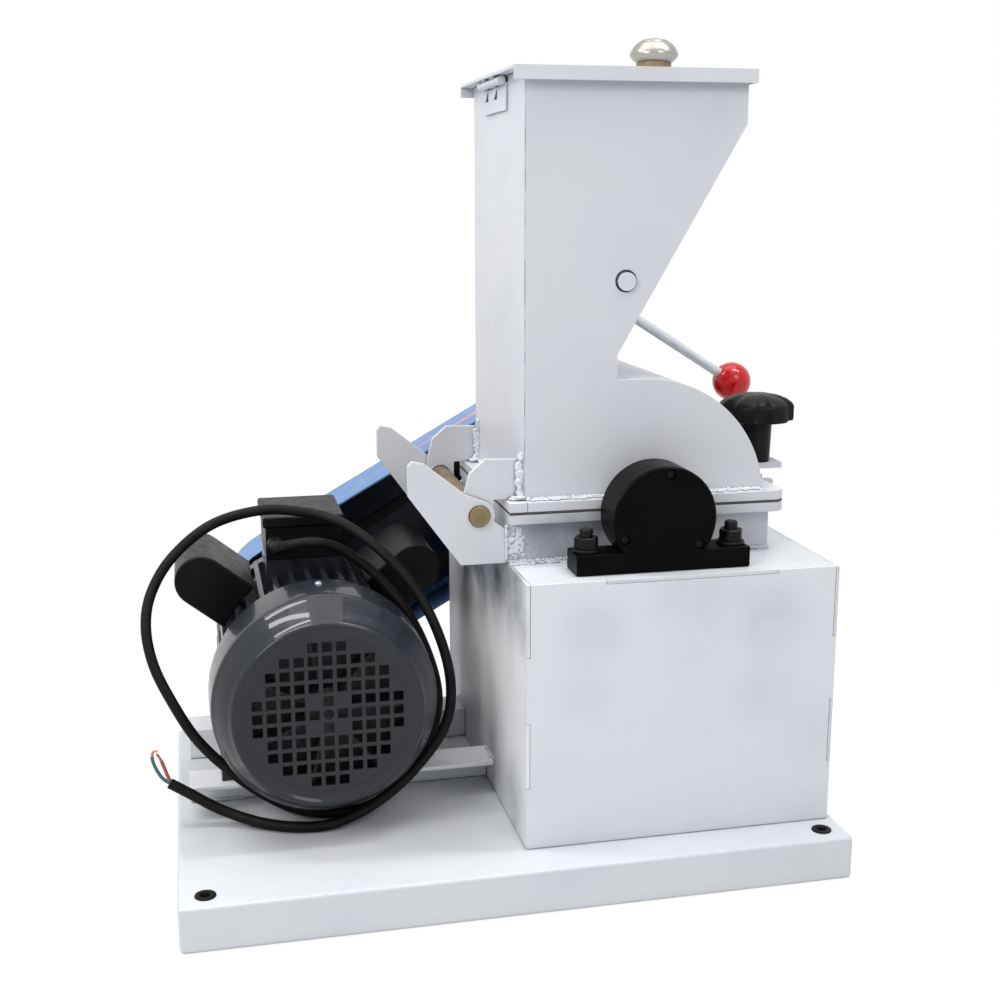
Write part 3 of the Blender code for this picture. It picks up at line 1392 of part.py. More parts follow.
def build_rotor(machine, pivot):
    """Shaft and discs as one piece, and four rows of hammers on their pins."""
    start = FRONT_BEARING_FRONT + BEARING_BLIND_END + SHAFT_END_GAP
    end = PULLEY_FRONT + PULLEY_WIDTH - SHAFT_END_STEP
    rotor = make_rod("rotor_body", (ROTOR_X, start, ROTOR_Z), end - start, ROTOR_SHAFT_RADIUS, "Y", FORGED)
    first = MID_DEPTH - ROTOR_BODY_LENGTH / 2
    for index in range(ROTOR_DISCS):
        place = (ROTOR_X, first + index * ROTOR_DISC_PITCH, ROTOR_Z)
        join(rotor, make_rod("disc", place, ROTOR_DISC_THICKNESS, ROTOR_DISC_RADIUS, "Y", steps=28))
    for row in range(HAMMER_ROWS):
        angle = math.pi / 4 + 2 * math.pi * row / HAMMER_ROWS
        hole = make_rod(
            "hammer_hole",
            (
                ROTOR_X + HAMMER_CIRCLE * math.cos(angle),
                first - CUT_OVERRUN,
                ROTOR_Z + HAMMER_CIRCLE * math.sin(angle),
            ),
            ROTOR_BODY_LENGTH + 2 * CUT_OVERRUN,
            HAMMER_PIN_RADIUS + RUN_GAP,
            "Y",
            steps=12,
        )
        cut(rotor, hole)
    attach(rotor, pivot)

    half = HAMMER_WIDTH / 2
    outline = circle_points((0.0, 0.0), half, 9, math.radians(90), math.pi, closed=False)
    reach = HAMMER_TIP_RADIUS - HAMMER_CIRCLE
    outline += [(reach, -half), (reach, half)]
    for row in range(HAMMER_ROWS):
        angle = math.pi / 4 + 2 * math.pi * row / HAMMER_ROWS
        centre = (
            ROTOR_X + HAMMER_CIRCLE * math.cos(angle),
            ROTOR_Z + HAMMER_CIRCLE * math.sin(angle),
        )
        pin = make_rod(
            f"hammer_row_{row + 1}",
            (centre[0], first - HAMMER_PIN_PROUD, centre[1]),
            ROTOR_BODY_LENGTH + 2 * HAMMER_PIN_PROUD,
            HAMMER_PIN_RADIUS,
            "Y",
            FORGED,
            steps=12,
        )
        turned = [
            (
                centre[0] + u * math.cos(angle) - v * math.sin(angle),
                centre[1] + u * math.sin(angle) + v * math.cos(angle),
            )
            for u, v in outline
        ]
        for index in range(ROTOR_DISCS - 1):
            middle = first + ROTOR_DISC_THICKNESS / 2 + (index + 0.5) * ROTOR_DISC_PITCH
            hammer = make_plate(
                "hammer", "XZ", [turned], middle - HAMMER_THICKNESS / 2, middle + HAMMER_THICKNESS / 2
            )
            join(pin, hammer)
        attach(pin, pivot)

    outer = GRATE_RADIUS + GRATE_THICKNESS
    lip_low = HOUSING_FLOOR
    lip_high = HOUSING_FLOOR + GRATE_THICKNESS
    inner_angle = math.asin((ROTOR_Z - lip_high) / GRATE_RADIUS)
    outer_angle = math.asin((ROTOR_Z - lip_low) / outer)
    outline = [(ROTOR_X - GRATE_LIP, lip_low), (ROTOR_X - GRATE_LIP, lip_high)]
    outline += circle_points(
        (ROTOR_X, ROTOR_Z),
        GRATE_RADIUS,
        33,
        math.pi + inner_angle,
        math.pi - 2 * inner_angle,
        closed=False,
    )
    outline += [(ROTOR_X + GRATE_LIP, lip_high), (ROTOR_X + GRATE_LIP, lip_low)]
    outline += circle_points(
        (ROTOR_X, ROTOR_Z), outer, 33, 2 * math.pi - outer_angle, -(math.pi - 2 * outer_angle), closed=False
    )
    low = MID_DEPTH - GRATE_HALF_LENGTH
    high = MID_DEPTH + GRATE_HALF_LENGTH
    grate = make_plate("grate", "XZ", [outline], low, high, FORGED)
    for index in range(GRATE_SLOTS):
        angle = GRATE_SLOT_STEP * (index - (GRATE_SLOTS - 1) / 2) - math.pi / 2
        for side in (-1, 1):
            middle = MID_DEPTH + side * (GRATE_SLOT_LENGTH + GRATE_BRIDGE) / 2
            slot = make_box(
                "slot",
                (-GRATE_SLOT_WIDTH / 2, -GRATE_SLOT_LENGTH / 2, -2 * GRATE_THICKNESS),
                (GRATE_SLOT_WIDTH / 2, GRATE_SLOT_LENGTH / 2, 2 * GRATE_THICKNESS),
            )
            radius = GRATE_RADIUS + GRATE_THICKNESS / 2
            place = (ROTOR_X + radius * math.cos(angle), middle, ROTOR_Z + radius * math.sin(angle))
            slot.matrix_world = Matrix.Translation(place) @ Matrix.Rotation(
                -(angle + math.pi / 2), 4, "Y"
            )
            cut(grate, slot)
    attach(grate, machine)


def make_pulley(name, centre, radius, bore, pivot):
    """A single groove pulley with a hub, its groove deeper than the belt by the belt gap."""
    half = PULLEY_WIDTH / 2
    groove = radius - BELT_DEPTH - BELT_GAP
    bottom = BELT_WIDTH / 2 + GROOVE_SIDE_GAP
    mouth = bottom + GROOVE_FLARE
    inner = bore + SEAT_GAP if bore else 0.0
    profile = [
        (inner, half),
        (radius, half),
        (radius, mouth),
        (groove, bottom),
        (groove, -bottom),
        (radius, -mouth),
        (radius, -half),
        (inner, -half),
    ]
    place = (centre[0], BELT_MID, centre[1])
    pulley = make_turned(name, profile, place, "Y", FORGED, closed=bool(bore))
    attach(pulley, pivot)
    return pulley


def build_drive(machine, motor_pivot, rotor_pivot):
    """Pulleys, the belt as one loop, and the blue guard behind the machine."""
    motor = (MOTOR_X, MOTOR_Z)
    rotor = (ROTOR_X, ROTOR_Z)
    pulley = make_pulley("motor_pulley", motor, MOTOR_PULLEY_RADIUS, 0.0, motor_pivot)
    start = STATOR_BACK + SHIELD_BORE_GAP
    place = (MOTOR_X, start, MOTOR_Z)
    shaft = make_rod("motor_shaft", place, MOTOR_SHAFT_END - start, MOTOR_SHAFT_RADIUS, "Y")
    join_attached(pulley, shaft, motor_pivot)
    make_pulley("rotor_pulley", rotor, ROTOR_PULLEY_RADIUS, ROTOR_SHAFT_RADIUS, rotor_pivot)
    inner = loop_outline(
        motor, MOTOR_PULLEY_RADIUS - BELT_DEPTH, rotor, ROTOR_PULLEY_RADIUS - BELT_DEPTH
    )
    outer = loop_outline(motor, MOTOR_PULLEY_RADIUS, rotor, ROTOR_PULLEY_RADIUS)
    belt = make_plate(
        "drive_belt", "XZ", [outer, inner], BELT_MID - BELT_WIDTH / 2, BELT_MID + BELT_WIDTH / 2, RUBBER
    )
    attach(belt, machine)

    outer = loop_outline(motor, GUARD_RADIUS, rotor, GUARD_RADIUS)
    inside = GUARD_RADIUS - GUARD_SHEET
    inner = loop_outline(motor, inside, rotor, inside)
    guard = make_plate("belt_guard", "XZ", [outer], GUARD_FRONT, GUARD_BACK, BLUE)
    cut(guard, make_plate("room", "XZ", [inner], GUARD_FRONT - CUT_OVERRUN, GUARD_BACK - GUARD_SHEET))
    heading = math.atan2(ROTOR_Z - MOTOR_Z, ROTOR_X - MOTOR_X)
    for place in GUARD_TAB_PLACES:
        tab = make_box(
            "guard_tab",
            (place - GUARD_TAB_LENGTH / 2, GUARD_FRONT, -inside - GUARD_SHEET / 2),
            (place + GUARD_TAB_LENGTH / 2, GUARD_FRONT + GUARD_SHEET, GUARD_TAB_REACH - inside),
        )
        centre = tab.matrix_basis.copy()
        tab.matrix_world = (
            Matrix.Translation((MOTOR_X, 0.0, MOTOR_Z)) @ Matrix.Rotation(-heading, 4, "Y") @ centre
        )
        join(guard, tab)
    attach(guard, machine)


def grille_outlines():
    """The round plate of the fan grille with its square holes and centre hole."""
    outlines = [circle_points((MOTOR_X, MOTOR_Z), GRILLE_RADIUS - SEAT_GAP, 64)]
    half = GRILLE_HOLE / 2
    middle = len(GRILLE_HALF_ROWS) // 2
    for row, reach in enumerate(GRILLE_HALF_ROWS):
        z = MOTOR_Z + (middle - row) * GRILLE_PITCH
        for column in range(-reach, reach + 1):
            if abs(row - middle) == 1 and abs(column) == 1:
                continue
            x = MOTOR_X + column * GRILLE_PITCH
            if row == middle and column == 0:
                outlines.append(circle_points((x, z), GRILLE_CENTRE_HOLE_RADIUS, 16))
                continue
            corners = ((-half, -half), (half, -half), (half, half), (-half, half))
            outlines.append([(x + across, z + up) for across, up in corners])
    return outlines


def build_fan_cover(machine):
    """The pressed cover over the fan, with its rounded front, and the punched grille in it."""
    radius = COVER_RADIUS
    lip = COVER_LIP_RADIUS
    roll = radius - lip
    sheet = COVER_SHEET
    outer = [(radius, COVER_LENGTH)]
    outer += [
        (lip + roll * math.cos(angle), roll - roll * math.sin(angle))
        for angle in [math.pi / 2 * i / 4 for i in range(5)]
    ]
    outer += [(GRILLE_RADIUS, GRILLE_RECESS)]
    inner = [(GRILLE_RADIUS, GRILLE_RECESS + sheet), (lip, sheet)]
    inner += [
        (lip + (roll - sheet) * math.cos(angle), roll - (roll - sheet) * math.sin(angle))
        for angle in [math.pi / 2 * (4 - i) / 4 for i in range(1, 5)]
    ]
    inner += [(radius - sheet, COVER_LENGTH)]
    cover = make_turned(
        "fan_cover",
        outer + inner,
        (MOTOR_X, MOTOR_FACE_Y, MOTOR_Z),
        "Y",
        MOTOR_GREY,
        steps=56,
        closed=True,
    )
    attach(cover, machine)
    grille = make_plate(
        "fan_grille",
        "XZ",
        grille_outlines(),
        MOTOR_FACE_Y + GRILLE_RECESS,
        MOTOR_FACE_Y + GRILLE_RECESS + sheet,
        MOTOR_GREY,
    )
    attach(grille, machine)


def build_fan(pivot):
    """The cooling fan behind the grille, with straight blades on a back plate."""
    back = FAN_BACK
    plate = FAN_PLATE
    fan = make_rod(
        "cooling_fan", (MOTOR_X, back - plate, MOTOR_Z), plate, FAN_RADIUS, "Y", KNOB_BLACK, steps=48
    )
    hub_length = FAN_DEPTH - plate / 2
    hub = make_rod("hub", (MOTOR_X, back - FAN_DEPTH, MOTOR_Z), hub_length, FAN_HUB_RADIUS, "Y")
    join(fan, hub)
    blade_low = FAN_HUB_RADIUS - plate
    blade_high = FAN_RADIUS - plate / 2
    half = FAN_BLADE_THICKNESS / 2
    for index in range(FAN_BLADES):
        angle = 2 * math.pi * index / FAN_BLADES
        blade = make_box("blade", (blade_low, -FAN_DEPTH / 2, -half), (blade_high, FAN_DEPTH / 2, half))
        centre = blade.matrix_basis.copy()
        blade.matrix_world = (
            Matrix.Translation((MOTOR_X, back - FAN_DEPTH / 2 - plate / 2, MOTOR_Z))
            @ Matrix.Rotation(angle, 4, "Y")
            @ centre
        )
        join(fan, blade)
    start = back - FAN_DEPTH / 2
    end = STATOR_FRONT - SHIELD_BORE_GAP
    shaft = make_rod("fan_shaft", (MOTOR_X, start, MOTOR_Z), end - start, FAN_SHAFT_RADIUS, "Y", steps=24)
    join(fan, shaft)
    attach(fan, pivot)


def stator_outline():
    """A round body with straight cooling fins."""
    points = []
    core = STATOR_RADIUS - STATOR_FIN_DEPTH
    step = 2 * math.pi / STATOR_FINS
    for index in range(STATOR_FINS):
        start = index * step
        for share, radius in ((0.0, core), (0.08, STATOR_RADIUS), (0.40, STATOR_RADIUS), (0.48, core)):
            angle = start + share * step
            points.append((MOTOR_X + radius * math.cos(angle), MOTOR_Z + radius * math.sin(angle)))
    return points


def stator_cutter(low, high):
    """The round space that the finned body takes."""
    return make_rod(
        "stator_room", (MOTOR_X, low, MOTOR_Z), high - low, STATOR_RADIUS + SEAT_GAP, "Y", steps=64
    )


def make_shield(low, length, flat_end, bore):
    """A cast end shield with a boss round the shaft, sunk a little into the finned body."""
    sign = 1 if flat_end == "low" else -1
    base = 0.0 if sign > 0 else length
    far = base + sign * length
    profile = [
        (bore, base),
        (SHIELD_RADIUS, base),
        (SHIELD_RADIUS, base + sign * length * 0.35),
        (SHIELD_RADIUS * 0.86, base + sign * length * 0.62),
        (SHIELD_RADIUS * 0.46, base + sign * length * 0.72),
        (SHIELD_RADIUS * 0.40, far),
        (bore, far),
    ]
    if sign > 0:
        profile.reverse()
    return make_turned("shield", profile, (MOTOR_X, low, MOTOR_Z), "Y", steps=36, closed=True)


def build_motor(machine):
    """The finned motor on its feet, with the terminal box and two capacitor covers."""
    body = make_plate("motor_body", "XZ", [stator_outline()], STATOR_FRONT, STATOR_BACK, MOTOR_GREY)
    sunk = CASTING_OVERLAP
    front_bore = FAN_SHAFT_RADIUS + RUN_GAP
    front_low = STATOR_FRONT - FRONT_SHIELD_LENGTH
    join(body, make_shield(front_low, FRONT_SHIELD_LENGTH + sunk, "high", front_bore))
    rim_radius = COVER_RADIUS - COVER_SHEET - SEAT_GAP
    rim_profile = [
        (STATOR_RADIUS / 2, COVER_RIM),
        (rim_radius, COVER_RIM),
        (rim_radius, 0.0),
        (STATOR_RADIUS / 2, 0.0),
    ]
    rim_place = (MOTOR_X, STATOR_FRONT + sunk / 2 - COVER_RIM, MOTOR_Z)
    join(body, make_turned("rim", rim_profile, rim_place, "Y", steps=56, closed=True))
    rear_low = STATOR_BACK - sunk
    join(body, make_shield(rear_low, REAR_SHIELD_LENGTH + sunk, "low", MOTOR_SHAFT_RADIUS + RUN_GAP))
    foot_floor = RAIL_TOP + SEAT_GAP
    for side in (-1, 1):
        outer = MOTOR_X + side * (FOOT_SPREAD + FOOT_WIDTH / 2)
        inner = MOTOR_X + side * (FOOT_SPREAD - FOOT_WIDTH / 2)
        web = MOTOR_X + side * (FOOT_SPREAD - FOOT_WIDTH / 2 + FOOT_WEB)
        outline = [
            (outer, foot_floor),
            (inner, foot_floor),
            (inner, MOTOR_Z - STATOR_RADIUS / 2),
            (web, MOTOR_Z - STATOR_RADIUS / 2),
            (web, foot_floor + FOOT_THICKNESS),
            (outer, foot_floor + FOOT_THICKNESS),
        ]
        join(body, make_plate("foot", "XZ", [outline], FOOT_FRONT, FOOT_BACK - 2 * sunk))
    saddle = make_box(
        "saddle",
        (BOX_LEFT, BOX_FRONT, MOTOR_Z + STATOR_RADIUS * 0.7),
        (BOX_RIGHT, BOX_BACK, SADDLE_TOP),
    )
    join(body, saddle)
    attach(body, machine)
    box = make_box(
        "terminal_box",
        (BOX_LEFT, BOX_FRONT, SADDLE_TOP + SEAT_GAP),
        (BOX_RIGHT, BOX_BACK, BOX_TOP),
        DARK_COVER,
    )
    gland_start = (GLAND_X, GLAND_Y, GLAND_Z)
    join(box, make_rod("gland", gland_start, GLAND_LENGTH + GLAND_SINK, GLAND_RADIUS, "Y", steps=24))
    attach(box, machine)
    lid = make_box(
        "terminal_box_lid",
        (BOX_LEFT - BOX_LID_RIM, BOX_FRONT - BOX_LID_RIM, BOX_TOP + SEAT_GAP),
        (BOX_RIGHT + BOX_LID_RIM, BOX_BACK + BOX_LID_RIM, BOX_LID_TOP),
        DARK_COVER,
        BOX_LID_EDGE,
    )
    attach(lid, machine)
    for name, side in (("capacitor_cover_left", -1), ("capacitor_cover_right", 1)):
        direction = Vector((side * math.cos(CAPACITOR_ANGLE), math.sin(CAPACITOR_ANGLE)))
        centre = Vector((MOTOR_X, MOTOR_Z)) + direction * CAPACITOR_REACH
        heading = math.atan2(direction.y, direction.x)
        outline = circle_points(
            centre, CAPACITOR_RADIUS, 25, heading - math.pi / 2, math.pi, closed=False
        )
        normal = Vector((-direction.y, direction.x))
        root = Vector((MOTOR_X, MOTOR_Z)) + direction * (STATOR_RADIUS - CAPACITOR_SINK)
        outline += [
            tuple(root + normal * CAPACITOR_RADIUS),
            tuple(root - normal * CAPACITOR_RADIUS),
        ]
        cover = make_plate(
            name, "XZ", [outline], CAPACITOR_FRONT, CAPACITOR_FRONT + CAPACITOR_LENGTH, DARK_COVER
        )
        cut(cover, stator_cutter(STATOR_FRONT, CAPACITOR_FRONT + CAPACITOR_LENGTH + CUT_OVERRUN))
        attach(cover, machine)


def build_rails(machine):
    """The two steel angles that carry the motor's feet."""
    top = RAIL_TOP
    web = RAIL_THICKNESS
    right = STAND_LEFT - SEAT_GAP
    front_outline = [
        (RAIL_FRONT_Y, top),
        (RAIL_FRONT_Y, top - web),
        (RAIL_FRONT_Y + RAIL_FLANGE - web, top - web),
        (RAIL_FRONT_Y + RAIL_FLANGE - web, STAND_FLOOR),
        (RAIL_FRONT_Y + RAIL_FLANGE, STAND_FLOOR),
        (RAIL_FRONT_Y + RAIL_FLANGE, top),
    ]
    back_outline = [
        (RAIL_BACK_Y, top),
        (RAIL_BACK_Y, STAND_FLOOR),
        (RAIL_BACK_Y + web, STAND_FLOOR),
        (RAIL_BACK_Y + web, top - web),
        (RAIL_BACK_Y + RAIL_FLANGE, top - web),
        (RAIL_BACK_Y + RAIL_FLANGE, top),
    ]
    for name, outline in (("motor_rail_front", front_outline), ("motor_rail_back", back_outline)):
        rail = make_plate(name, "YZ", [outline], RAIL_LEFT, right, WHITE)
        attach(rail, machine)


def build_cord(machine):
    """The motor's own cord, looped round the fan cover and ending in bare wires."""
    start = (GLAND_X, GLAND_Y - SEAT_GAP, GLAND_Z)
    lead = (start[0], start[1] - CORD_LEAD, start[2])
    points = [(GLAND_X + x, GLAND_Y + y, GLAND_Z + z) for x, y, z in CORD_ROUTE]
    route = [start, *smooth_route([lead, *points], CORD_STEP)]
    cord = make_tube("mains_cord", route, CORD_RADIUS, RUBBER)
    attach(cord, machine)


def main():
    """Build the whole machine."""
    machine = new_pivot("machine", (-ORIGIN_X, -ORIGIN_Y, 0.0))
    housing = new_pivot("housing_axis", (PIN_X, MID_DEPTH, PIN_Z), machine)
    lid = new_pivot("lid_axis", (LID_HINGE_X, MID_DEPTH, LID_HINGE_Z), housing)
    gate = new_pivot("gate_axis", (GATE_X, LEVER_Y, GATE_Z), housing)
    clamp = new_pivot("clamp_axis", (CLAMP_X, TAB_Y, CLAMP_SEAT), housing)
    motor = new_pivot("motor_axis", (MOTOR_X, MOTOR_SHOULDER, MOTOR_Z), machine)
    rotor = new_pivot("rotor_axis", (ROTOR_X, MID_DEPTH, ROTOR_Z), machine)
    build_base(machine)
    build_stand(machine)
    build_lower_housing(machine)
    build_upper_housing(housing)
    build_housing_hinge(machine, housing)
    build_lid(housing, lid)
    build_gate(gate)
    build_clamp(clamp)
    build_bearing("front_bearing", FRONT_BEARING_FRONT, True, machine)
    build_bearing("rear_bearing", REAR_BEARING_FRONT, False, machine)
    build_rotor(machine, rotor)
    build_drive(machine, motor, rotor)
    build_fan_cover(machine)
    build_fan(motor)
    build_motor(machine)
    build_rails(machine)
    build_cord(machine)


main()
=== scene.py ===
"""The looks of a small hammer crusher: sprayed sheet steel, welds, fasteners, a glossy motor and its cord.

Lengths are metres, +Z up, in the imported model's own frame. Places are written in the machine's frame, whose
origin is the front left bottom corner of the base pan, and at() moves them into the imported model's frame.
Each class is one sub-assembly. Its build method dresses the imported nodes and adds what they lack.
"""

import logging
import math
import random
from dataclasses import dataclass, field, replace
from enum import Enum, StrEnum
from itertools import pairwise
from typing import Protocol, Sequence

import bpy
from mathutils import Matrix, Vector


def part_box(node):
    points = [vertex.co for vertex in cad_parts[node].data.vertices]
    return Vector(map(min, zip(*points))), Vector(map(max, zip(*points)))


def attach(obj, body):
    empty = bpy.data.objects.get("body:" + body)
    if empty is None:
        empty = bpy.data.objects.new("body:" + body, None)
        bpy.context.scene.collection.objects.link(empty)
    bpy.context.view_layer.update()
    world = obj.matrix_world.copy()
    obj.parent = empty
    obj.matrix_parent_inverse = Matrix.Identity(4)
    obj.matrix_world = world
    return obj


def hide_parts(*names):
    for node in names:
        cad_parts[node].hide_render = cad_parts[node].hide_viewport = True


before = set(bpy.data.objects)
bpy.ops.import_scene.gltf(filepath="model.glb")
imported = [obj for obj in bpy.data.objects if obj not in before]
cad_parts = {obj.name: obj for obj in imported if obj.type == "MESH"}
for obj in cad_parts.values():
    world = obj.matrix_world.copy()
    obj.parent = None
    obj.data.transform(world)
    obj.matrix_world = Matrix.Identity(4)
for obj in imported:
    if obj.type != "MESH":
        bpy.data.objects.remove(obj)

LOG = logging.getLogger("crusher")
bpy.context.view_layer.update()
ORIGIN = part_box("base_pan")[0]
MERGE = 0.00001  # points nearer than this become one
TIP = 0.0005  # where a turned profile ends beside its axis

Point = tuple[float, float, float]
Colour = tuple[float, float, float]
Pair = tuple[float, float]
Outline = Sequence[Pair]
Droplets = tuple[str, Point, Point, int, float, float]
Socket = bpy.types.NodeSocket
Piece = bpy.types.Object
PURE_WHITE: Colour = (1.0, 1.0, 1.0)


def at(x: float, y: float, z: float) -> Vector:
    """Move a place in the machine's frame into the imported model's frame.

    Args:
        x: Distance from the base pan's left edge.
        y: Distance from the base pan's front edge.
        z: Height over the floor.

    Returns:
        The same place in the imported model's frame.
    """
    return Vector((x, y, z)) + ORIGIN


class Body(Enum):
    """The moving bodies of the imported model."""

    BASE = "base"
    HOUSING = "upper_housing"
    LID = "lid_body"
    GATE = "gate"
    CLAMP = "clamp_knob"
    ROTOR = "crusher_rotor"
    MOTOR = "motor_rotor"


class Slot(StrEnum):
    """The material slots of the record."""

    SHEET = "sheet_paint"
    BLACK_PAINT = "black_paint"
    MOTOR = "motor_paint"
    COVER = "dark_cover"
    BLUE = "blue_paint"
    KNOB = "black_plastic"
    BALL = "red_plastic"
    RUBBER = "rubber"
    GASKET = "gasket"
    ZINC = "zinc"
    POLISHED = "polished"
    STEEL = "bare_steel"
    FORGED = "forged"


class Axis(Enum):
    """The turn that lays a piece made along +Z on another axis."""

    X = (0.0, math.pi / 2, 0.0)
    Y = (-math.pi / 2, 0.0, 0.0)
    FRONT = (math.pi / 2, 0.0, 0.0)
    Z = (0.0, 0.0, 0.0)


# Materials


class Bench:
    """A node tree under construction, with short calls for nodes that the world and the finishes share."""

    def __init__(self, tree: bpy.types.NodeTree) -> None:
        """Start on a tree."""
        self.tree = tree

    def add(self, kind: str, **settings: object) -> bpy.types.Node:
        """Add a node.

        Args:
            kind: The node's type.
            **settings: Properties to set on it.

        Returns:
            The new node.
        """
        node = self.tree.nodes.new(kind)
        for key, value in settings.items():
            setattr(node, key, value)
        return node

    def join(self, source: Socket, target: Socket) -> None:
        """Link two sockets."""
        self.tree.links.new(source, target)

    def maths(self, operation: str, first: Socket, second: Socket | float) -> Socket:
        """Combine two values.

        Args:
            operation: The operation's name.
            first: The first value.
            second: The second value, a socket or a number.

        Returns:
            The result.
        """
        node = self.add("ShaderNodeMath", operation=operation)
        self.join(first, node.inputs[0])
        if isinstance(second, (int, float)):
            node.inputs[1].default_value = second
        else:
            self.join(second, node.inputs[1])
        return node.outputs["Value"]

    def plain(self, kind: str, colour: Colour, strength: float | None = None) -> Socket:
        """Add a shader of one colour.

        Args:
            kind: The shader's type.
            colour: Its colour.
            strength: Its strength, where it gives light.

        Returns:
            The shader.
        """
        node = self.add(kind)
        node.inputs["Color"].default_value = (*colour, 1.0)
        if strength is not None:
            node.inputs["Strength"].default_value = strength
        return node.outputs[0]

    def choice(self, factor: Socket, first: Socket, second: Socket) -> Socket:
        """Mix two shaders.

        Args:
            factor: 0 for the first shader and 1 for the second.
            first: The first shader.
            second: The second shader.

        Returns:
            The mixed shader.
        """
        mix = self.add("ShaderNodeMixShader")
        for source, target in zip((factor, first, second), mix.inputs):
            self.join(source, target)
        return mix.outputs["Shader"]

    def seen(self) -> Socket:
        """1 for rays that see the surroundings: from the camera, through glass or off a shiny surface."""
        path = self.add("ShaderNodeLightPath")
        direct = self.maths("MAXIMUM", path.outputs["Is Camera Ray"], path.outputs["Is Transmission Ray"])
        return self.maths("MAXIMUM", direct, path.outputs["Is Glossy Ray"])


class NodeBench(Bench):
    """A material under construction, with short calls for the nodes that every finish uses."""

    def __init__(self, name: str) -> None:
        """Start a material.

        Args:
            name: The material's name.
        """
        self.material = bpy.data.materials.new(name)
        self.material.use_nodes = True
        super().__init__(self.material.node_tree)
        self.shader = self.tree.nodes["Principled BSDF"]
        self.place = self.add("ShaderNodeTexCoord").outputs["Object"]

    def stretched(self, stretch: Point) -> Socket:
        """Scale the object coordinates.

        Args:
            stretch: The factor along each axis.

        Returns:
            The scaled coordinates.
        """
        mapping = self.add("ShaderNodeMapping")
        mapping.inputs["Scale"].default_value = stretch
        self.join(self.place, mapping.inputs["Vector"])
        return mapping.outputs["Vector"]

    def noise(self, scale: float, detail: float = 3.0, stretch: Point = (1.0, 1.0, 1.0)) -> Socket:
        """Add a noise pattern.

        Args:
            scale: Features per metre.
            detail: Octaves of finer pattern.
            stretch: The factor along each axis.

        Returns:
            The pattern, from 0 to 1.
        """
        texture = self.add("ShaderNodeTexNoise")
        texture.inputs["Scale"].default_value = scale
        texture.inputs["Detail"].default_value = detail
        self.join(self.stretched(stretch), texture.inputs["Vector"])
        return texture.outputs["Fac"]

    def spread(self, source: Socket, low: float, high: float, start: float = 0.0, end: float = 1.0) -> Socket:
        """Map a range of a pattern smoothly onto another range.

        Args:
            source: The pattern.
            low: The value that becomes start.
            high: The value that becomes end.
            start: The result at low.
            end: The result at high.

        Returns:
            The mapped value.
        """
        mapped = self.add("ShaderNodeMapRange", interpolation_type="SMOOTHSTEP")
        for name, value in (("From Min", low), ("From Max", high), ("To Min", start), ("To Max", end)):
            mapped.inputs[name].default_value = value
        self.join(source, mapped.inputs["Value"])
        return mapped.outputs["Result"]

    def tint(self, factor: Socket, first: Socket | Colour, second: Socket | Colour) -> Socket:
        """Blend two colours.

        Args:
            factor: 0 for the first colour and 1 for the second.
            first: A colour, as a socket or as numbers.
            second: A colour, as a socket or as numbers.

        Returns:
            The blended colour.
        """
        mix = self.add("ShaderNodeMix", data_type="RGBA")
        self.join(factor, mix.inputs["Factor"])
        for socket, value in ((mix.inputs[6], first), (mix.inputs[7], second)):
            if isinstance(value, tuple):
                socket.default_value = (*value, 1.0)
            else:
                self.join(value, socket)
        return mix.outputs[2]

    def bump(self, height: Socket, distance: float, strength: float = 1.0) -> None:
        """Raise the surface by a pattern, over any bump already there.

        Args:
            height: The pattern.
            distance: The relief in metres.
            strength: The share of it that shows.
        """
        node = self.add("ShaderNodeBump")
        node.inputs["Strength"].default_value = strength
        node.inputs["Distance"].default_value = distance
        self.join(height, node.inputs["Height"])
        normal = self.shader.inputs["Normal"]
        if normal.is_linked:
            self.join(normal.links[0].from_socket, node.inputs["Normal"])
        self.join(node.outputs["Normal"], normal)

    def near(self, centre: Vector, radius: float) -> Socket:
        """Make a soft round patch.

        Args:
            centre: Its middle.
            radius: Where it has faded out.

        Returns:
            1 in the middle and 0 outside.
        """
        distance = self.add("ShaderNodeVectorMath", operation="DISTANCE")
        self.join(self.place, distance.inputs[0])
        distance.inputs[1].default_value = centre
        return self.spread(distance.outputs["Value"], 0.0, radius, 1.0, 0.0)

    def openness(self, reach: float) -> Socket:
        """Tell how open the surface lies.

        Args:
            reach: How near a wall has to be to count.

        Returns:
            1 in the open and less in a corner.
        """
        corner = self.add("ShaderNodeAmbientOcclusion", samples=4)
        corner.inputs["Distance"].default_value = reach
        return corner.outputs["AO"]

    def crackle(self, scale: float, width: float) -> Socket:
        """Draw a net of thin cracks.

        Args:
            scale: Cells per metre.
            width: The cracks' width as a share of a cell.

        Returns:
            1 on the cracks and 0 between them.
        """
        cells = self.add("ShaderNodeTexVoronoi", feature="DISTANCE_TO_EDGE")
        cells.inputs["Scale"].default_value = scale
        self.join(self.place, cells.inputs["Vector"])
        return self.spread(cells.outputs["Distance"], 0.0, width, 1.0, 0.0)


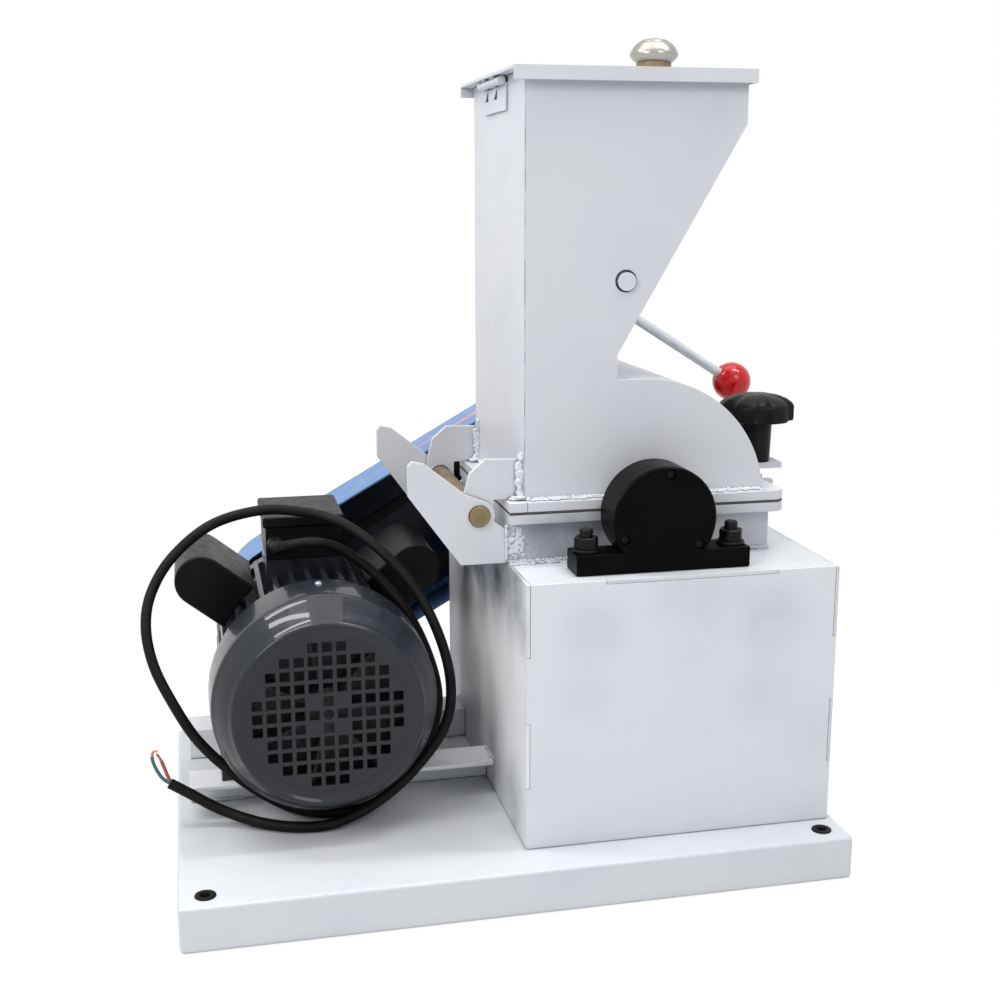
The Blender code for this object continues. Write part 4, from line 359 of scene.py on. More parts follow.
@dataclass(frozen=True)
class Finish:
    """A surface: two colours in a cloudy pattern, a roughness range and a fine grain."""

    name: str
    colour: Colour
    shade: Colour
    patch_scale: float = 14.0
    patch_share: float = 0.5
    roughness: Pair = (0.35, 0.5)
    metallic: float = 0.0
    specular: float = 0.5
    coat: float = 0.0
    coat_roughness: float = 0.1
    grain_scale: float = 900.0
    grain_depth: float = 0.00004
    stretch: Point = (1.0, 1.0, 1.0)

    def colours(self, bench: NodeBench) -> Socket:
        """The base colour: the shade comes through in soft patches."""
        patches = bench.noise(self.patch_scale, 4.0, self.stretch)
        factor = bench.spread(patches, 0.42, 0.72, 0.0, self.patch_share)
        return bench.tint(factor, self.colour, self.shade)

    def detail(self, bench: NodeBench) -> None:
        """The grain: a fine relief over the whole surface."""
        bench.bump(bench.noise(self.grain_scale, 2.0, self.stretch), self.grain_depth)

    def make(self) -> bpy.types.Material:
        """Build the material once.

        Returns:
            The material, shared by every piece with this finish.
        """
        known = bpy.data.materials.get(self.name)
        if known:
            return known
        bench = NodeBench(self.name)
        shader = bench.shader.inputs
        bench.join(self.colours(bench), shader["Base Color"])
        wear = bench.noise(self.patch_scale * 5, 5.0, self.stretch)
        bench.join(bench.spread(wear, 0.3, 0.7, *self.roughness), shader["Roughness"])
        shader["Metallic"].default_value = self.metallic
        shader["Specular IOR Level"].default_value = self.specular
        shader["Coat Weight"].default_value = self.coat
        shader["Coat Roughness"].default_value = self.coat_roughness
        self.detail(bench)
        bench.material.diffuse_color = (*self.colour, 1.0)
        return bench.material


@dataclass(frozen=True)
class Cloud:
    """A grey blur placed on sprayed paint; on the lower housing and the stand's left side it is painted
    shade.
    """

    centre: Point
    radius: float
    share: float


@dataclass(frozen=True)
class SheetPaint(Finish):
    """White paint sprayed over sheet steel: grey clouds, partly thin paint and partly painted shade, dust
    specks, painted shade in corners and seams, and an orange peel.
    """

    clouds: tuple[Cloud, ...] = ()
    cracks: tuple[Cloud, ...] = ()
    crack_scale: float = 150.0
    speck: Colour = (0.26, 0.27, 0.30)
    speck_share: float = 0.35
    speck_scale: float = 420.0
    scuff_scale: float = 55.0
    scuff_stretch: Point = (1.0, 1.0, 7.0)
    # This colour draws the open corner seam and the painted shade in corners and seams; the next two set that
    # shade's strength and reach.
    seam: Colour = (0.10, 0.105, 0.12)
    seam_shade_share: float = 0.62
    seam_shade_reach: float = 0.0045
    corner_x: float | None = None
    corner_y: float = 0.0
    corner_width: float = 0.0009
    corner_depth: float = 0.0005
    ripple_scale: float = 9.0
    ripple_depth: float = 0.0012

    def colours(self, bench: NodeBench) -> Socket:
        """The base colour: broad patches, placed clouds, cracks, specks, scuffs and painted shade in corners
        and seams.
        """
        base = super().colours(bench)
        for cloud in self.clouds:
            patch = bench.near(at(*cloud.centre), cloud.radius)
            ragged = bench.spread(bench.noise(24.0, 3.0), 0.25, 0.70, 0.35, 1.0)
            factor = bench.maths("MULTIPLY", bench.maths("MULTIPLY", patch, ragged), cloud.share)
            base = bench.tint(factor, base, self.shade)
        for crack in self.cracks:
            patch = bench.near(at(*crack.centre), crack.radius)
            factor = bench.maths("MULTIPLY", patch, bench.crackle(self.crack_scale, 0.10))
            base = bench.tint(bench.maths("MULTIPLY", factor, crack.share), base, self.speck)
        specks = bench.spread(bench.noise(self.speck_scale, 1.0), 0.755, 0.80, 0.0, self.speck_share)
        base = bench.tint(specks, base, self.speck)
        scratched = bench.noise(self.scuff_scale, 2.0, self.scuff_stretch)
        scuffs = bench.spread(scratched, 0.745, 0.80, 0.0, self.speck_share * 0.5)
        base = bench.tint(scuffs, base, self.speck)
        if self.corner_x is not None:
            base = bench.tint(self.corner_seam(bench), base, self.seam)
        # Painted shade: darker wherever other surfaces lie near, in corners, creases and seams.
        seam_shade = bench.spread(bench.openness(self.seam_shade_reach), 0.30, 0.80, self.seam_shade_share, 0.0)
        return bench.tint(seam_shade, base, self.seam)

    def corner_seam(self, bench: NodeBench) -> Socket:
        """Draw the open seam beside a folded corner, in dashes of uneven strength.

        Args:
            bench: The material under construction.

        Returns:
            The seam's strength.
        """
        split = bench.add("ShaderNodeSeparateXYZ")
        bench.join(bench.place, split.inputs["Vector"])
        offset = bench.maths("SUBTRACT", split.outputs["X"], self.corner_x + ORIGIN.x)
        away = bench.maths("ABSOLUTE", offset, 0.0)
        line = bench.spread(away, self.corner_width * 0.25, self.corner_width / 2, 1.0, 0.0)
        edge = self.corner_y + ORIGIN.y
        front = bench.spread(split.outputs["Y"], edge, edge + self.corner_depth, 1.0, 0.0)
        dashes = bench.spread(bench.noise(26.0, 2.0, (0.0, 0.0, 1.0)), 0.42, 0.60, 0.15, 0.85)
        return bench.maths("MULTIPLY", bench.maths("MULTIPLY", line, front), dashes)

    def detail(self, bench: NodeBench) -> None:
        """The orange peel, with a slower ripple of the sheet under it."""
        bench.bump(bench.noise(self.ripple_scale, 2.0), self.ripple_depth, 0.30)
        bench.bump(bench.noise(self.grain_scale, 2.0), self.grain_depth, 0.6)


@dataclass(frozen=True)
class WeldPaint(Finish):
    """Paint over weld metal, rough and clotted."""

    def detail(self, bench: NodeBench) -> None:
        """Lumps in two sizes."""
        bench.bump(bench.noise(380.0, 4.0), 0.0012)
        bench.bump(bench.noise(1400.0, 2.0), 0.0003)


@dataclass(frozen=True)
class BandPaint(Finish):
    """Blue paint with painted shade inside the guard and on its back plate, and a worn coloured line along
    the top of its band.
    """

    line: Colour = (0.62, 0.25, 0.20)
    line_centre: Point = (0.34, 0.4273, 0.36)
    line_width: float = 0.011
    line_reach: float = 0.15
    inner_shade: Colour = (0.004, 0.007, 0.030)
    plate_y: Pair = (0.4601, 0.4616)

    def colours(self, bench: NodeBench) -> Socket:
        """The base colour, with painted shade inside and on the back plate, and the line at the band's own
        depth.
        """
        split = bench.add("ShaderNodeSeparateXYZ")
        bench.join(bench.place, split.inputs["Vector"])
        depth = bench.maths("SUBTRACT", split.outputs["Y"], ORIGIN.y)
        near_plate = bench.spread(depth, self.plate_y[0] - 0.0004, self.plate_y[0], 0.0, 1.0)
        on_back = bench.spread(depth, self.plate_y[1], self.plate_y[1] + 0.0004, 1.0, 0.0)
        # Painted shade: darker inside the guard, where its walls lie near, and on its back plate.
        shaded = bench.spread(bench.openness(0.07), 0.55, 0.92, 1.0, 0.0)
        inner = bench.maths("MAXIMUM", shaded, bench.maths("MULTIPLY", near_plate, on_back))
        base = bench.tint(inner, super().colours(bench), self.inner_shade)
        away = bench.maths("ABSOLUTE", bench.maths("SUBTRACT", depth, self.line_centre[1]), 0.0)
        inside = bench.spread(away, self.line_width / 2 - 0.0012, self.line_width / 2, 1.0, 0.0)
        worn = bench.near(at(*self.line_centre), self.line_reach)
        return bench.tint(bench.maths("MULTIPLY", inside, worn), base, self.line)


WHITE = SheetPaint(
    "white_sheet_paint",
    (0.662, 0.674, 0.702),
    (0.520, 0.545, 0.610),
    patch_scale=5.0,
    patch_share=0.30,
    roughness=(0.30, 0.42),
    specular=0.20,
    grain_scale=700.0,
    grain_depth=0.00005,
)
PAN_WHITE = replace(
    WHITE,
    name="white_pan_paint",
    colour=(0.660, 0.672, 0.694),
    shade=(0.560, 0.580, 0.625),
    patch_scale=7.0,
    patch_share=0.45,
    roughness=(0.30, 0.44),
    grain_scale=600.0,
    grain_depth=0.00008,
    speck_share=0.6,
)
# A lighter copy of the pan's paint for the rails: painted light that lifts them out of the shade they lie in.
RAIL_WHITE_LIT = replace(
    PAN_WHITE,
    name="white_rail_painted_light",
    colour=(0.820, 0.832, 0.852),
    shade=(0.560, 0.580, 0.630),
    patch_scale=12.0,
    patch_share=0.25,
    speck_share=WHITE.speck_share,
)
HOPPER_WHITE = replace(WHITE, name="white_hopper_paint", patch_share=0.35, corner_x=0.3087, corner_y=0.1150)
# The lower housing: its clouds are painted shadow on the wall behind the front bearing; its cracks are real.
HOUSING_WHITE_SHADED = replace(
    WHITE,
    name="white_housing_painted_shade",
    colour=(0.640, 0.655, 0.690),
    shade=(0.270, 0.292, 0.335),
    patch_scale=6.0,
    patch_share=0.20,
    roughness=(0.30, 0.46),
    grain_scale=500.0,
    grain_depth=0.00012,
    clouds=(Cloud((0.350, 0.114, 0.300), 0.064, 0.95), Cloud((0.320, 0.114, 0.304), 0.030, 0.60)),
    cracks=(
        Cloud((0.303, 0.114, 0.290), 0.022, 0.60),
        Cloud((0.325, 0.114, 0.284), 0.014, 0.45),
        Cloud((0.516, 0.114, 0.292), 0.018, 0.25),
    ),
)
STAND_FRONT_Y = 0.04
# A lighter copy of WHITE for the stand's front: painted light; its clouds darken it in patches.
STAND_WHITE_LIT = replace(
    WHITE,
    name="white_stand_painted_light",
    colour=(0.738, 0.750, 0.778),
    shade=(0.480, 0.520, 0.605),
    patch_scale=4.0,
    patch_share=0.16,
    roughness=(0.28, 0.40),
    clouds=tuple(
        Cloud((x, STAND_FRONT_Y, z), radius, share)
        for x, z, radius, share in (
            (0.352, 0.232, 0.046, 0.42),
            (0.345, 0.180, 0.040, 0.22),
            (0.510, 0.235, 0.050, 0.60),
            (0.505, 0.165, 0.045, 0.26),
            (0.440, 0.262, 0.070, 0.40),
            (0.440, 0.205, 0.050, 0.20),
            (0.300, 0.110, 0.050, 0.22),
            (0.560, 0.120, 0.050, 0.20),
        )
    ),
)
STAND_LEFT_X = 0.293
# The stand's left side, a shaded copy of WHITE: its dark and light bands are painted shadow from the hinge
# plates and the hopper and painted reflection, partly also thin paint.
SIDE_WHITE_SHADED = replace(
    WHITE,
    name="white_stand_side_painted_shade",
    colour=(0.840, 0.850, 0.860),
    shade=(0.085, 0.098, 0.125),
    patch_share=0.12,
    roughness=(0.44, 0.56),
    specular=0.08,
    clouds=tuple(
        Cloud((STAND_LEFT_X, y, z), radius, share)
        for y, z, radius, share in (
            (0.095, 0.270, 0.075, 0.90),
            (0.160, 0.262, 0.080, 1.00),
            (0.230, 0.248, 0.085, 1.00),
            (0.305, 0.232, 0.085, 1.00),
            (0.048, 0.235, 0.045, 0.40),
            (0.090, 0.060, 0.070, 0.45),
            (0.180, 0.075, 0.060, 0.45),
        )
    ),
)
WELD_WHITE = WeldPaint(
    "white_weld_paint",
    (0.780, 0.795, 0.820),
    (0.500, 0.530, 0.600),
    patch_scale=90.0,
    patch_share=0.6,
    roughness=(0.30, 0.5),
)
BLACK = Finish(
    "black_gloss_paint",
    (0.0016, 0.0016, 0.0020),
    (0.0030, 0.0030, 0.0034),
    patch_scale=30.0,
    roughness=(0.28, 0.38),
    specular=0.05,
    grain_scale=500.0,
    grain_depth=0.00006,
)
# Black oxide on the fasteners and bushes; the same black also stands for painted shade in the lid hinge's
# openings and round the gate shaft.
BLACK_OXIDE_AND_SHADE = Finish(
    "black_fastener_and_shade",
    (0.0055, 0.0055, 0.0055),
    (0.0180, 0.0165, 0.0155),
    patch_scale=120.0,
    specular=0.14,
    grain_scale=1500.0,
)
MOTOR_GREY = Finish(
    "motor_gloss_paint",
    (0.020, 0.023, 0.029),
    (0.015, 0.018, 0.023),
    patch_scale=9.0,
    roughness=(0.26, 0.32),
    specular=0.1,
    coat=0.4,
    coat_roughness=0.05,
    grain_scale=800.0,
    grain_depth=0.000012,
)
DARK_PLASTIC = Finish(
    "dark_moulded_cover",
    (0.0030, 0.0030, 0.0032),
    (0.0056, 0.0055, 0.0052),
    patch_scale=22.0,
    roughness=(0.34, 0.44),
    specular=0.13,
    grain_scale=1600.0,
)
KNOB_PLASTIC = replace(
    DARK_PLASTIC,
    name="knob_black_plastic",
    colour=(0.0050, 0.0060, 0.0055),
    shade=(0.0090, 0.0105, 0.0097),
    patch_scale=30.0,
    grain_scale=1800.0,
)
FAN_PLASTIC = Finish(
    "fan_plastic", (0.020, 0.020, 0.022), (0.050, 0.050, 0.052), patch_scale=50.0, roughness=(0.45, 0.6)
)
GUARD_BLUE = BandPaint(
    "guard_blue_paint",
    (0.112, 0.238, 0.480),
    (0.090, 0.200, 0.430),
    patch_scale=9.0,
    roughness=(0.30, 0.42),
    specular=0.35,
)
ZINC = Finish(
    "yellow_zinc",
    (0.250, 0.190, 0.095),
    (0.150, 0.100, 0.062),
    patch_scale=90.0,
    patch_share=0.9,
    roughness=(0.38, 0.52),
    metallic=0.5,
    grain_scale=1400.0,
)
GALVANISED = Finish(
    "galvanised_rod",
    (0.68, 0.72, 0.75),
    (0.54, 0.58, 0.61),
    patch_scale=60.0,
    roughness=(0.30, 0.42),
    metallic=0.15,
    stretch=(0.35, 1.0, 0.35),
)
BARE_STEEL = Finish(
    "machined_steel",
    (0.44, 0.44, 0.45),
    (0.28, 0.27, 0.26),
    patch_scale=45.0,
    roughness=(0.28, 0.5),
    metallic=1.0,
    stretch=(1.0, 0.15, 1.0),
)
FORGED = Finish(
    "forged_steel",
    (0.11, 0.10, 0.095),
    (0.20, 0.15, 0.11),
    patch_scale=60.0,
    patch_share=0.7,
    roughness=(0.45, 0.7),
    metallic=0.8,
    grain_scale=500.0,
    grain_depth=0.0002,
)
NICKEL = Finish(
    "polished_nickel",
    (0.36, 0.345, 0.31),
    (0.33, 0.315, 0.285),
    patch_scale=12.0,
    roughness=(0.24, 0.30),
    metallic=0.88,
    grain_depth=0.000004,
)
RED = Finish(
    "red_ball_plastic",
    (0.58, 0.004, 0.006),
    (0.42, 0.005, 0.009),
    patch_scale=20.0,
    patch_share=0.3,
    roughness=(0.16, 0.20),
    specular=0.25,
    coat=0.35,
    coat_roughness=0.05,
    grain_depth=0.000002,
)
RUBBER = Finish(
    "cord_rubber",
    (0.0060, 0.0060, 0.0066),
    (0.0120, 0.0116, 0.0114),
    patch_scale=40.0,
    patch_share=0.6,
    roughness=(0.42, 0.56),
    specular=0.12,
    grain_scale=2200.0,
)
GASKET = Finish(
    "gasket_sheet",
    (0.085, 0.080, 0.080),
    (0.050, 0.047, 0.047),
    patch_scale=160.0,
    patch_share=0.8,
    roughness=(0.7, 0.9),
    stretch=(1.0, 1.0, 4.0),
)
COPPER = Finish(
    "copper_strands",
    (0.62, 0.27, 0.14),
    (0.42, 0.16, 0.08),
    patch_scale=300.0,
    roughness=(0.25, 0.4),
    metallic=1.0,
)
GREEN_SLEEVE = Finish("green_wire_sleeve", (0.035, 0.16, 0.15), (0.02, 0.10, 0.10), patch_scale=200.0)
RED_SLEEVE = Finish("red_wire_sleeve", (0.42, 0.10, 0.085), (0.28, 0.06, 0.05), patch_scale=200.0)


# Bench work: short calls over Blender's own modelling tools


def pick(piece: Piece) -> None:
    """Make one piece the only selected one, and the active one."""
    bpy.ops.object.select_all(action="DESELECT")
    piece.select_set(True)
    bpy.context.view_layer.objects.active = piece


def settle(piece: Piece) -> None:
    """Move the place, turn and size of a piece into its mesh."""
    pick(piece)
    bpy.ops.object.transform_apply(location=True, rotation=True, scale=True)


def close_up(piece: Piece) -> None:
    """Merge doubled points and turn every face outwards."""
    pick(piece)
    bpy.ops.object.mode_set(mode="EDIT")
    bpy.ops.mesh.select_all(action="SELECT")
    bpy.ops.mesh.remove_doubles(threshold=MERGE)
    bpy.ops.mesh.normals_make_consistent(inside=False)
    bpy.ops.object.mode_set(mode="OBJECT")


def soften(piece: Piece, width: float, segments: int = 2, angle: float = 30.0) -> None:
    """Round the sharp edges of a piece.

    Args:
        piece: The piece.
        width: The rounding's width.
        segments: Faces across it.
        angle: Edges sharper than this many degrees are rounded.
    """
    pick(piece)
    bevel = piece.modifiers.new("softened edges", "BEVEL")
    bevel.width = width
    bevel.segments = segments
    bevel.limit_method = "ANGLE"
    bevel.angle_limit = math.radians(angle)
    bpy.ops.object.modifier_apply(modifier=bevel.name)


def shade(piece: Piece, angle: float = 35.0) -> None:
    """Shade a piece smoothly, apart from edges sharper than this many degrees."""
    pick(piece)
    bpy.ops.object.shade_smooth_by_angle(angle=math.radians(angle))


def flatten(piece: Piece) -> None:
    """Let the large faces of a rounded piece shade flat."""
    pick(piece)
    weighted = piece.modifiers.new("flat faces", "WEIGHTED_NORMAL")
    weighted.keep_sharp = True
    weighted.weight = 80
    bpy.ops.object.modifier_apply(modifier=weighted.name)


def paint(piece: Piece, finish: Finish) -> None:
    """Give a piece one finish all over."""
    piece.data.materials.clear()
    piece.data.materials.append(finish.make())


def hang(piece: Piece, body: Body, finish: Finish) -> Piece:
    """Paint a finished piece and make it ride on its body.

    Args:
        piece: The piece, in place.
        body: What carries it.
        finish: Its finish.

    Returns:
        The piece.
    """
    paint(piece, finish)
    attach(piece, body.value)
    return piece


def lofted(name: str, outline: Outline, levels: Outline, ring: bool = False) -> Piece:
    """Extrude an outline along +Z through levels that scale it.

    Args:
        name: The piece's name.
        outline: Its points at scale 1.
        levels: The scale and height of each level.
        ring: Whether the levels form a closed loop round a hole.

    Returns:
        The piece, at the origin.
    """
    fill = "NOTHING" if ring else "NGON"
    bpy.ops.object.select_all(action="DESELECT")
    bpy.ops.mesh.primitive_circle_add(vertices=len(outline), radius=1.0, fill_type=fill)
    piece = bpy.context.active_object
    piece.name = name
    first_scale, first_height = levels[0]
    for vertex, (x, y) in zip(piece.data.vertices, outline):
        vertex.co = (x * first_scale, y * first_scale, first_height)
    bpy.ops.object.mode_set(mode="EDIT")
    bpy.ops.mesh.select_all(action="SELECT")
    path = [*levels, levels[0]] if ring else list(levels)
    for (scale, height), (next_scale, next_height) in pairwise(path):
        rise = {"value": (0.0, 0.0, next_height - height)}
        bpy.ops.mesh.extrude_region_move(TRANSFORM_OT_translate=rise)
        ratio = next_scale / scale
        bpy.ops.transform.resize(value=(ratio, ratio, 1.0), center_override=(0.0, 0.0, next_height))
    bpy.ops.object.mode_set(mode="OBJECT")
    close_up(piece)
    return piece


def round_outline(steps: int) -> list[Pair]:
    """Even points round a circle of radius 1."""
    return [(math.cos(math.tau * k / steps), math.sin(math.tau * k / steps)) for k in range(steps)]


def turned(
    name: str, profile: Outline, centre: Vector, axis: Axis, steps: int = 48, ring: bool = False
) -> Piece:
    """Turn a round piece from its profile.

    Args:
        name: The piece's name.
        profile: The radius and the distance along the axis of each step.
        centre: Where the axis starts.
        axis: The axis.
        steps: Sides of the circle.
        ring: Whether the profile closes on itself round a hole.

    Returns:
        The piece, in place.
    """
    piece = lofted(name, round_outline(steps), profile, ring)
    piece.rotation_euler = axis.value
    piece.location = centre
    settle(piece)
    return piece


def arc(radius: float, centre: Pair, start: float, end: float, steps: int) -> list[Pair]:
    """Points of an arc for a profile.

    Args:
        radius: The arc's radius.
        centre: Its centre, as a distance from the axis and along it.
        start: The first angle in degrees, 0 pointing away from the axis.
        end: The last angle.
        steps: The number of chords.

    Returns:
        The points, first and last included.
    """
    points = []
    for step in range(steps + 1):
        angle = math.radians(start + (end - start) * step / steps)
        points.append((centre[0] + radius * math.cos(angle), centre[1] + radius * math.sin(angle)))
    return points


def dressed(
    node: str, body: Body, finish: Finish, edge: float = 0.0005, segments: int = 2
) -> Piece:
    """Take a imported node, round its edges and let the result stand for it.

    Args:
        node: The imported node.
        body: Its body.
        finish: The finish.
        edge: The rounding's width.
        segments: Faces across the rounding.

    Returns:
        The new piece.
    """
    pick(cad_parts[node])
    bpy.ops.object.duplicate(linked=False)
    piece = bpy.context.active_object
    piece.name = node + "_dressed"
    piece.parent = None
    for key in list(piece.keys()):
        del piece[key]
    bpy.ops.object.mode_set(mode="EDIT")
    bpy.ops.mesh.select_all(action="SELECT")
    bpy.ops.mesh.remove_doubles(threshold=MERGE)
    bpy.ops.mesh.dissolve_limited(angle_limit=math.radians(0.5))
    bpy.ops.object.mode_set(mode="OBJECT")
    soften(piece, edge, segments)
    shade(piece)
    flatten(piece)
    hang(piece, body, finish)
    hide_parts(node)
    return piece


def refinished(node: str, finish: Finish) -> None:
    """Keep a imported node's own shape and give it a finish."""
    paint(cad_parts[node], finish)


def stand_along(piece: Piece, direction: Vector, place: Vector) -> None:
    """Turn a piece that was made along +Z, and settle it in its place.

    Args:
        piece: The piece.
        direction: Where its +Z is to point.
        place: Where its origin is to be.
    """
    piece.rotation_mode = "QUATERNION"
    piece.rotation_quaternion = direction.to_track_quat("Z", "Y")
    piece.location = place
    settle(piece)


def roughen(piece: Piece, grain: float, strength: float) -> None:
    """Push a surface in and out in small lumps.

    Args:
        piece: The piece.
        grain: The size of a lump.
        strength: How far the surface moves.
    """
    pick(piece)
    lumps = bpy.data.textures.new(piece.name, "CLOUDS")
    lumps.noise_scale = grain
    displace = piece.modifiers.new("lumps", "DISPLACE")
    displace.texture = lumps
    displace.strength = strength
    bpy.ops.object.modifier_apply(modifier=displace.name)


def copied(piece: Piece, name: str, shift: Vector) -> Piece:
    """Copy a finished piece with a mesh of its own.

    Args:
        piece: The piece, before it rides on anything.
        name: The copy's name.
        shift: How far the copy stands from it.

    Returns:
        The copy.
    """
    pick(piece)
    bpy.ops.object.duplicate(linked=False)
    twin = bpy.context.active_object
    twin.name = name
    twin.location = shift
    settle(twin)
    return twin


def fused(name: str, pieces: Sequence[Piece]) -> Piece:
    """Join several pieces into one object.

    Args:
        name: The result's name.
        pieces: The pieces.

    Returns:
        The joined piece.
    """
    pick(pieces[0])
    for piece in pieces[1:]:
        piece.select_set(True)
    bpy.ops.object.join()
    result = bpy.context.active_object
    result.name = name
    return result


def bead(name: str, start: Vector, end: Vector, radius: float, seed: int) -> Piece:
    """Lay a rough weld bead along a line.

    Args:
        name: The bead's name.
        start: Where it starts.
        end: Where it ends.
        radius: Its radius.
        seed: Makes its lumps its own.

    Returns:
        The bead.
    """
    along = end - start
    rings = max(3, int(along.length / (radius * 0.7)))
    dice = random.Random(seed)
    levels = [(radius * 0.3, 0.0)]
    for ring in range(1, rings):
        swell = 0.85 + 0.10 * math.sin(ring * 0.9 + seed) + dice.uniform(-0.20, 0.20)
        levels.append((radius * swell, along.length * ring / rings))
    levels.append((radius * 0.3, along.length))
    piece = lofted(name, round_outline(9), levels)
    pick(piece)
    bpy.ops.object.mode_set(mode="EDIT")
    bpy.ops.mesh.select_all(action="SELECT")
    bpy.ops.mesh.subdivide(number_cuts=1)
    bpy.ops.object.mode_set(mode="OBJECT")
    roughen(piece, radius * 0.9, radius * 1.3)
    stand_along(piece, along, start)
    shade(piece, 80.0)
    return piece


def spatter(name: str, low: Vector, high: Vector, count: int, size: Pair, seed: int) -> Piece:
    """Scatter weld lumps in a thin box that lies on a surface, flattened against it.

    Args:
        name: The piece's name.
        low: The box's lowest corner.
        high: The box's highest corner.
        count: The number of droplets.
        size: The smallest and largest radius.
        seed: Fixes where they fall.

    Returns:
        All droplets as one object.
    """
    dice = random.Random(seed)
    depths = [b - a for a, b in zip(low, high)]
    flat = depths.index(min(depths))
    drops = []
    for _ in range(count):
        place = [dice.uniform(a, b) for a, b in zip(low, high)]
        radius = dice.uniform(*size)
        bpy.ops.object.select_all(action="DESELECT")
        bpy.ops.mesh.primitive_ico_sphere_add(subdivisions=2, radius=radius, location=place)
        drop = bpy.context.active_object
        drop.scale = [dice.uniform(0.3, 0.6) if axis == flat else dice.uniform(0.8, 1.9) for axis in range(3)]
        settle(drop)
        drops.append(drop)
    piece = fused(name, drops)
    roughen(piece, size[1] * 0.8, size[1] * 0.5)
    settle(piece)
    shade(piece, 80.0)
    return piece


# Sub-assemblies


class Part(Protocol):
    """A sub-assembly of the machine."""

    def build(self) -> None:
        """Model and dress all its pieces."""


@dataclass
class Studio:
    """The camera at the photograph's place, the lamps, a white backdrop and the floor."""

    eye: Point = (0.03073, -1.02618, 0.58918)
    yaw: float = 0.22103
    pitch: float = 0.2156
    roll: float = 0.00137
    lens: float = 49.705
    sensor: float = 36.0
    sky: Colour = (0.93, 0.96, 1.0)
    sky_strength: float = 0.34
    floor_size: float = 9.0
    floor_colour: Colour = (0.75, 0.75, 0.76)
    floor_glow: float = 0.78
    shadow_colour: Colour = (0.26, 0.26, 0.26)
    shadow_reach: float = 0.95
    aim: Point = (0.30, 0.20, 0.30)
    lamps: tuple[tuple[str, Point, float, float, float], ...] = (
        ("left_window", (-1.30, -0.90, 1.60), 0.8, 0.9, 20.0),
        ("front_window", (0.95, -1.50, 1.60), 0.7, 0.9, 8.0),
        ("overhead", (0.15, 0.25, 4.4), 4.4, 3.6, 86.0),
        ("left_strip", (-0.50, 0.36, 1.75), 0.15, 0.95, 9.5),
        ("right_strip", (0.93, 0.00, 1.77), 0.15, 0.80, 9.0),
    )

    def build(self) -> None:
        """Set up everything round the machine."""
        self.set_camera()
        self.set_backdrop()
        self.set_floor()
        self.set_lamps()
        bpy.context.scene.view_settings.view_transform = "Standard"

    def set_camera(self) -> None:
        """Put the camera where the photograph was taken from."""
        bpy.ops.object.camera_add()
        camera = bpy.context.active_object
        camera.data.lens = self.lens
        camera.data.sensor_width = self.sensor
        flat = math.cos(self.pitch)
        ahead = Vector((math.sin(self.yaw) * flat, math.cos(self.yaw) * flat, -math.sin(self.pitch)))
        right = Vector((math.cos(self.yaw), -math.sin(self.yaw), 0.0))
        down = ahead.cross(right)
        level = math.cos(self.roll) * right + math.sin(self.roll) * down
        plumb = -math.sin(self.roll) * right + math.cos(self.roll) * down
        turn = Matrix((level, -plumb, -ahead)).transposed()
        camera.matrix_world = Matrix.Translation(at(*self.eye)) @ turn.to_4x4()
        bpy.context.scene.camera = camera

    def set_backdrop(self) -> None:
        """A white surround that the camera, metal and glass see, and a soft grey light for the rest."""
        world = bpy.data.worlds.new("studio")
        bpy.context.scene.world = world
        world.use_nodes = True
        world.node_tree.nodes.clear()
        bench = Bench(world.node_tree)
        lit = bench.plain("ShaderNodeBackground", self.sky, self.sky_strength)
        white = bench.plain("ShaderNodeBackground", PURE_WHITE, 1.0)
        output = bench.add("ShaderNodeOutputWorld")
        bench.join(bench.choice(bench.seen(), lit, white), output.inputs["Surface"])

    def set_floor(self) -> None:
        """A pale floor that shows the machine's shadow faintly and fades to plain white farther out."""
        bpy.ops.object.select_all(action="DESELECT")
        bpy.ops.mesh.primitive_plane_add(size=self.floor_size, location=(0.0, 0.0, 0.0))
        floor = bpy.context.active_object
        floor.name = "studio_floor"
        bench = NodeBench("floor_white")
        bench.tree.nodes.remove(bench.shader)
        lit = bench.plain("ShaderNodeBsdfDiffuse", self.floor_colour)
        close = bench.add("ShaderNodeAddShader")
        bench.join(bench.plain("ShaderNodeEmission", PURE_WHITE, self.floor_glow), close.inputs[0])
        bench.join(bench.plain("ShaderNodeBsdfDiffuse", self.shadow_colour), close.inputs[1])
        far = bench.plain("ShaderNodeEmission", PURE_WHITE, 1.0)
        shown = bench.choice(bench.near(Vector(), self.shadow_reach), far, close.outputs["Shader"])
        output = bench.tree.nodes["Material Output"]
        bench.join(bench.choice(bench.seen(), lit, shown), output.inputs["Surface"])
        floor.data.materials.append(bench.material)

    def set_lamps(self) -> None:
        """Soft windows on the left, in front and overhead, and two strips for the motor's highlights."""
        for name, place, width, height, power in self.lamps:
            bpy.ops.object.light_add(type="AREA", location=at(*place))
            lamp = bpy.context.active_object
            lamp.name = name
            lamp.data.shape = "RECTANGLE"
            lamp.data.size = width
            lamp.data.size_y = height
            lamp.data.energy = power
            direction = at(*self.aim) - lamp.location
            lamp.rotation_euler = direction.to_track_quat("-Z", "Y").to_euler()


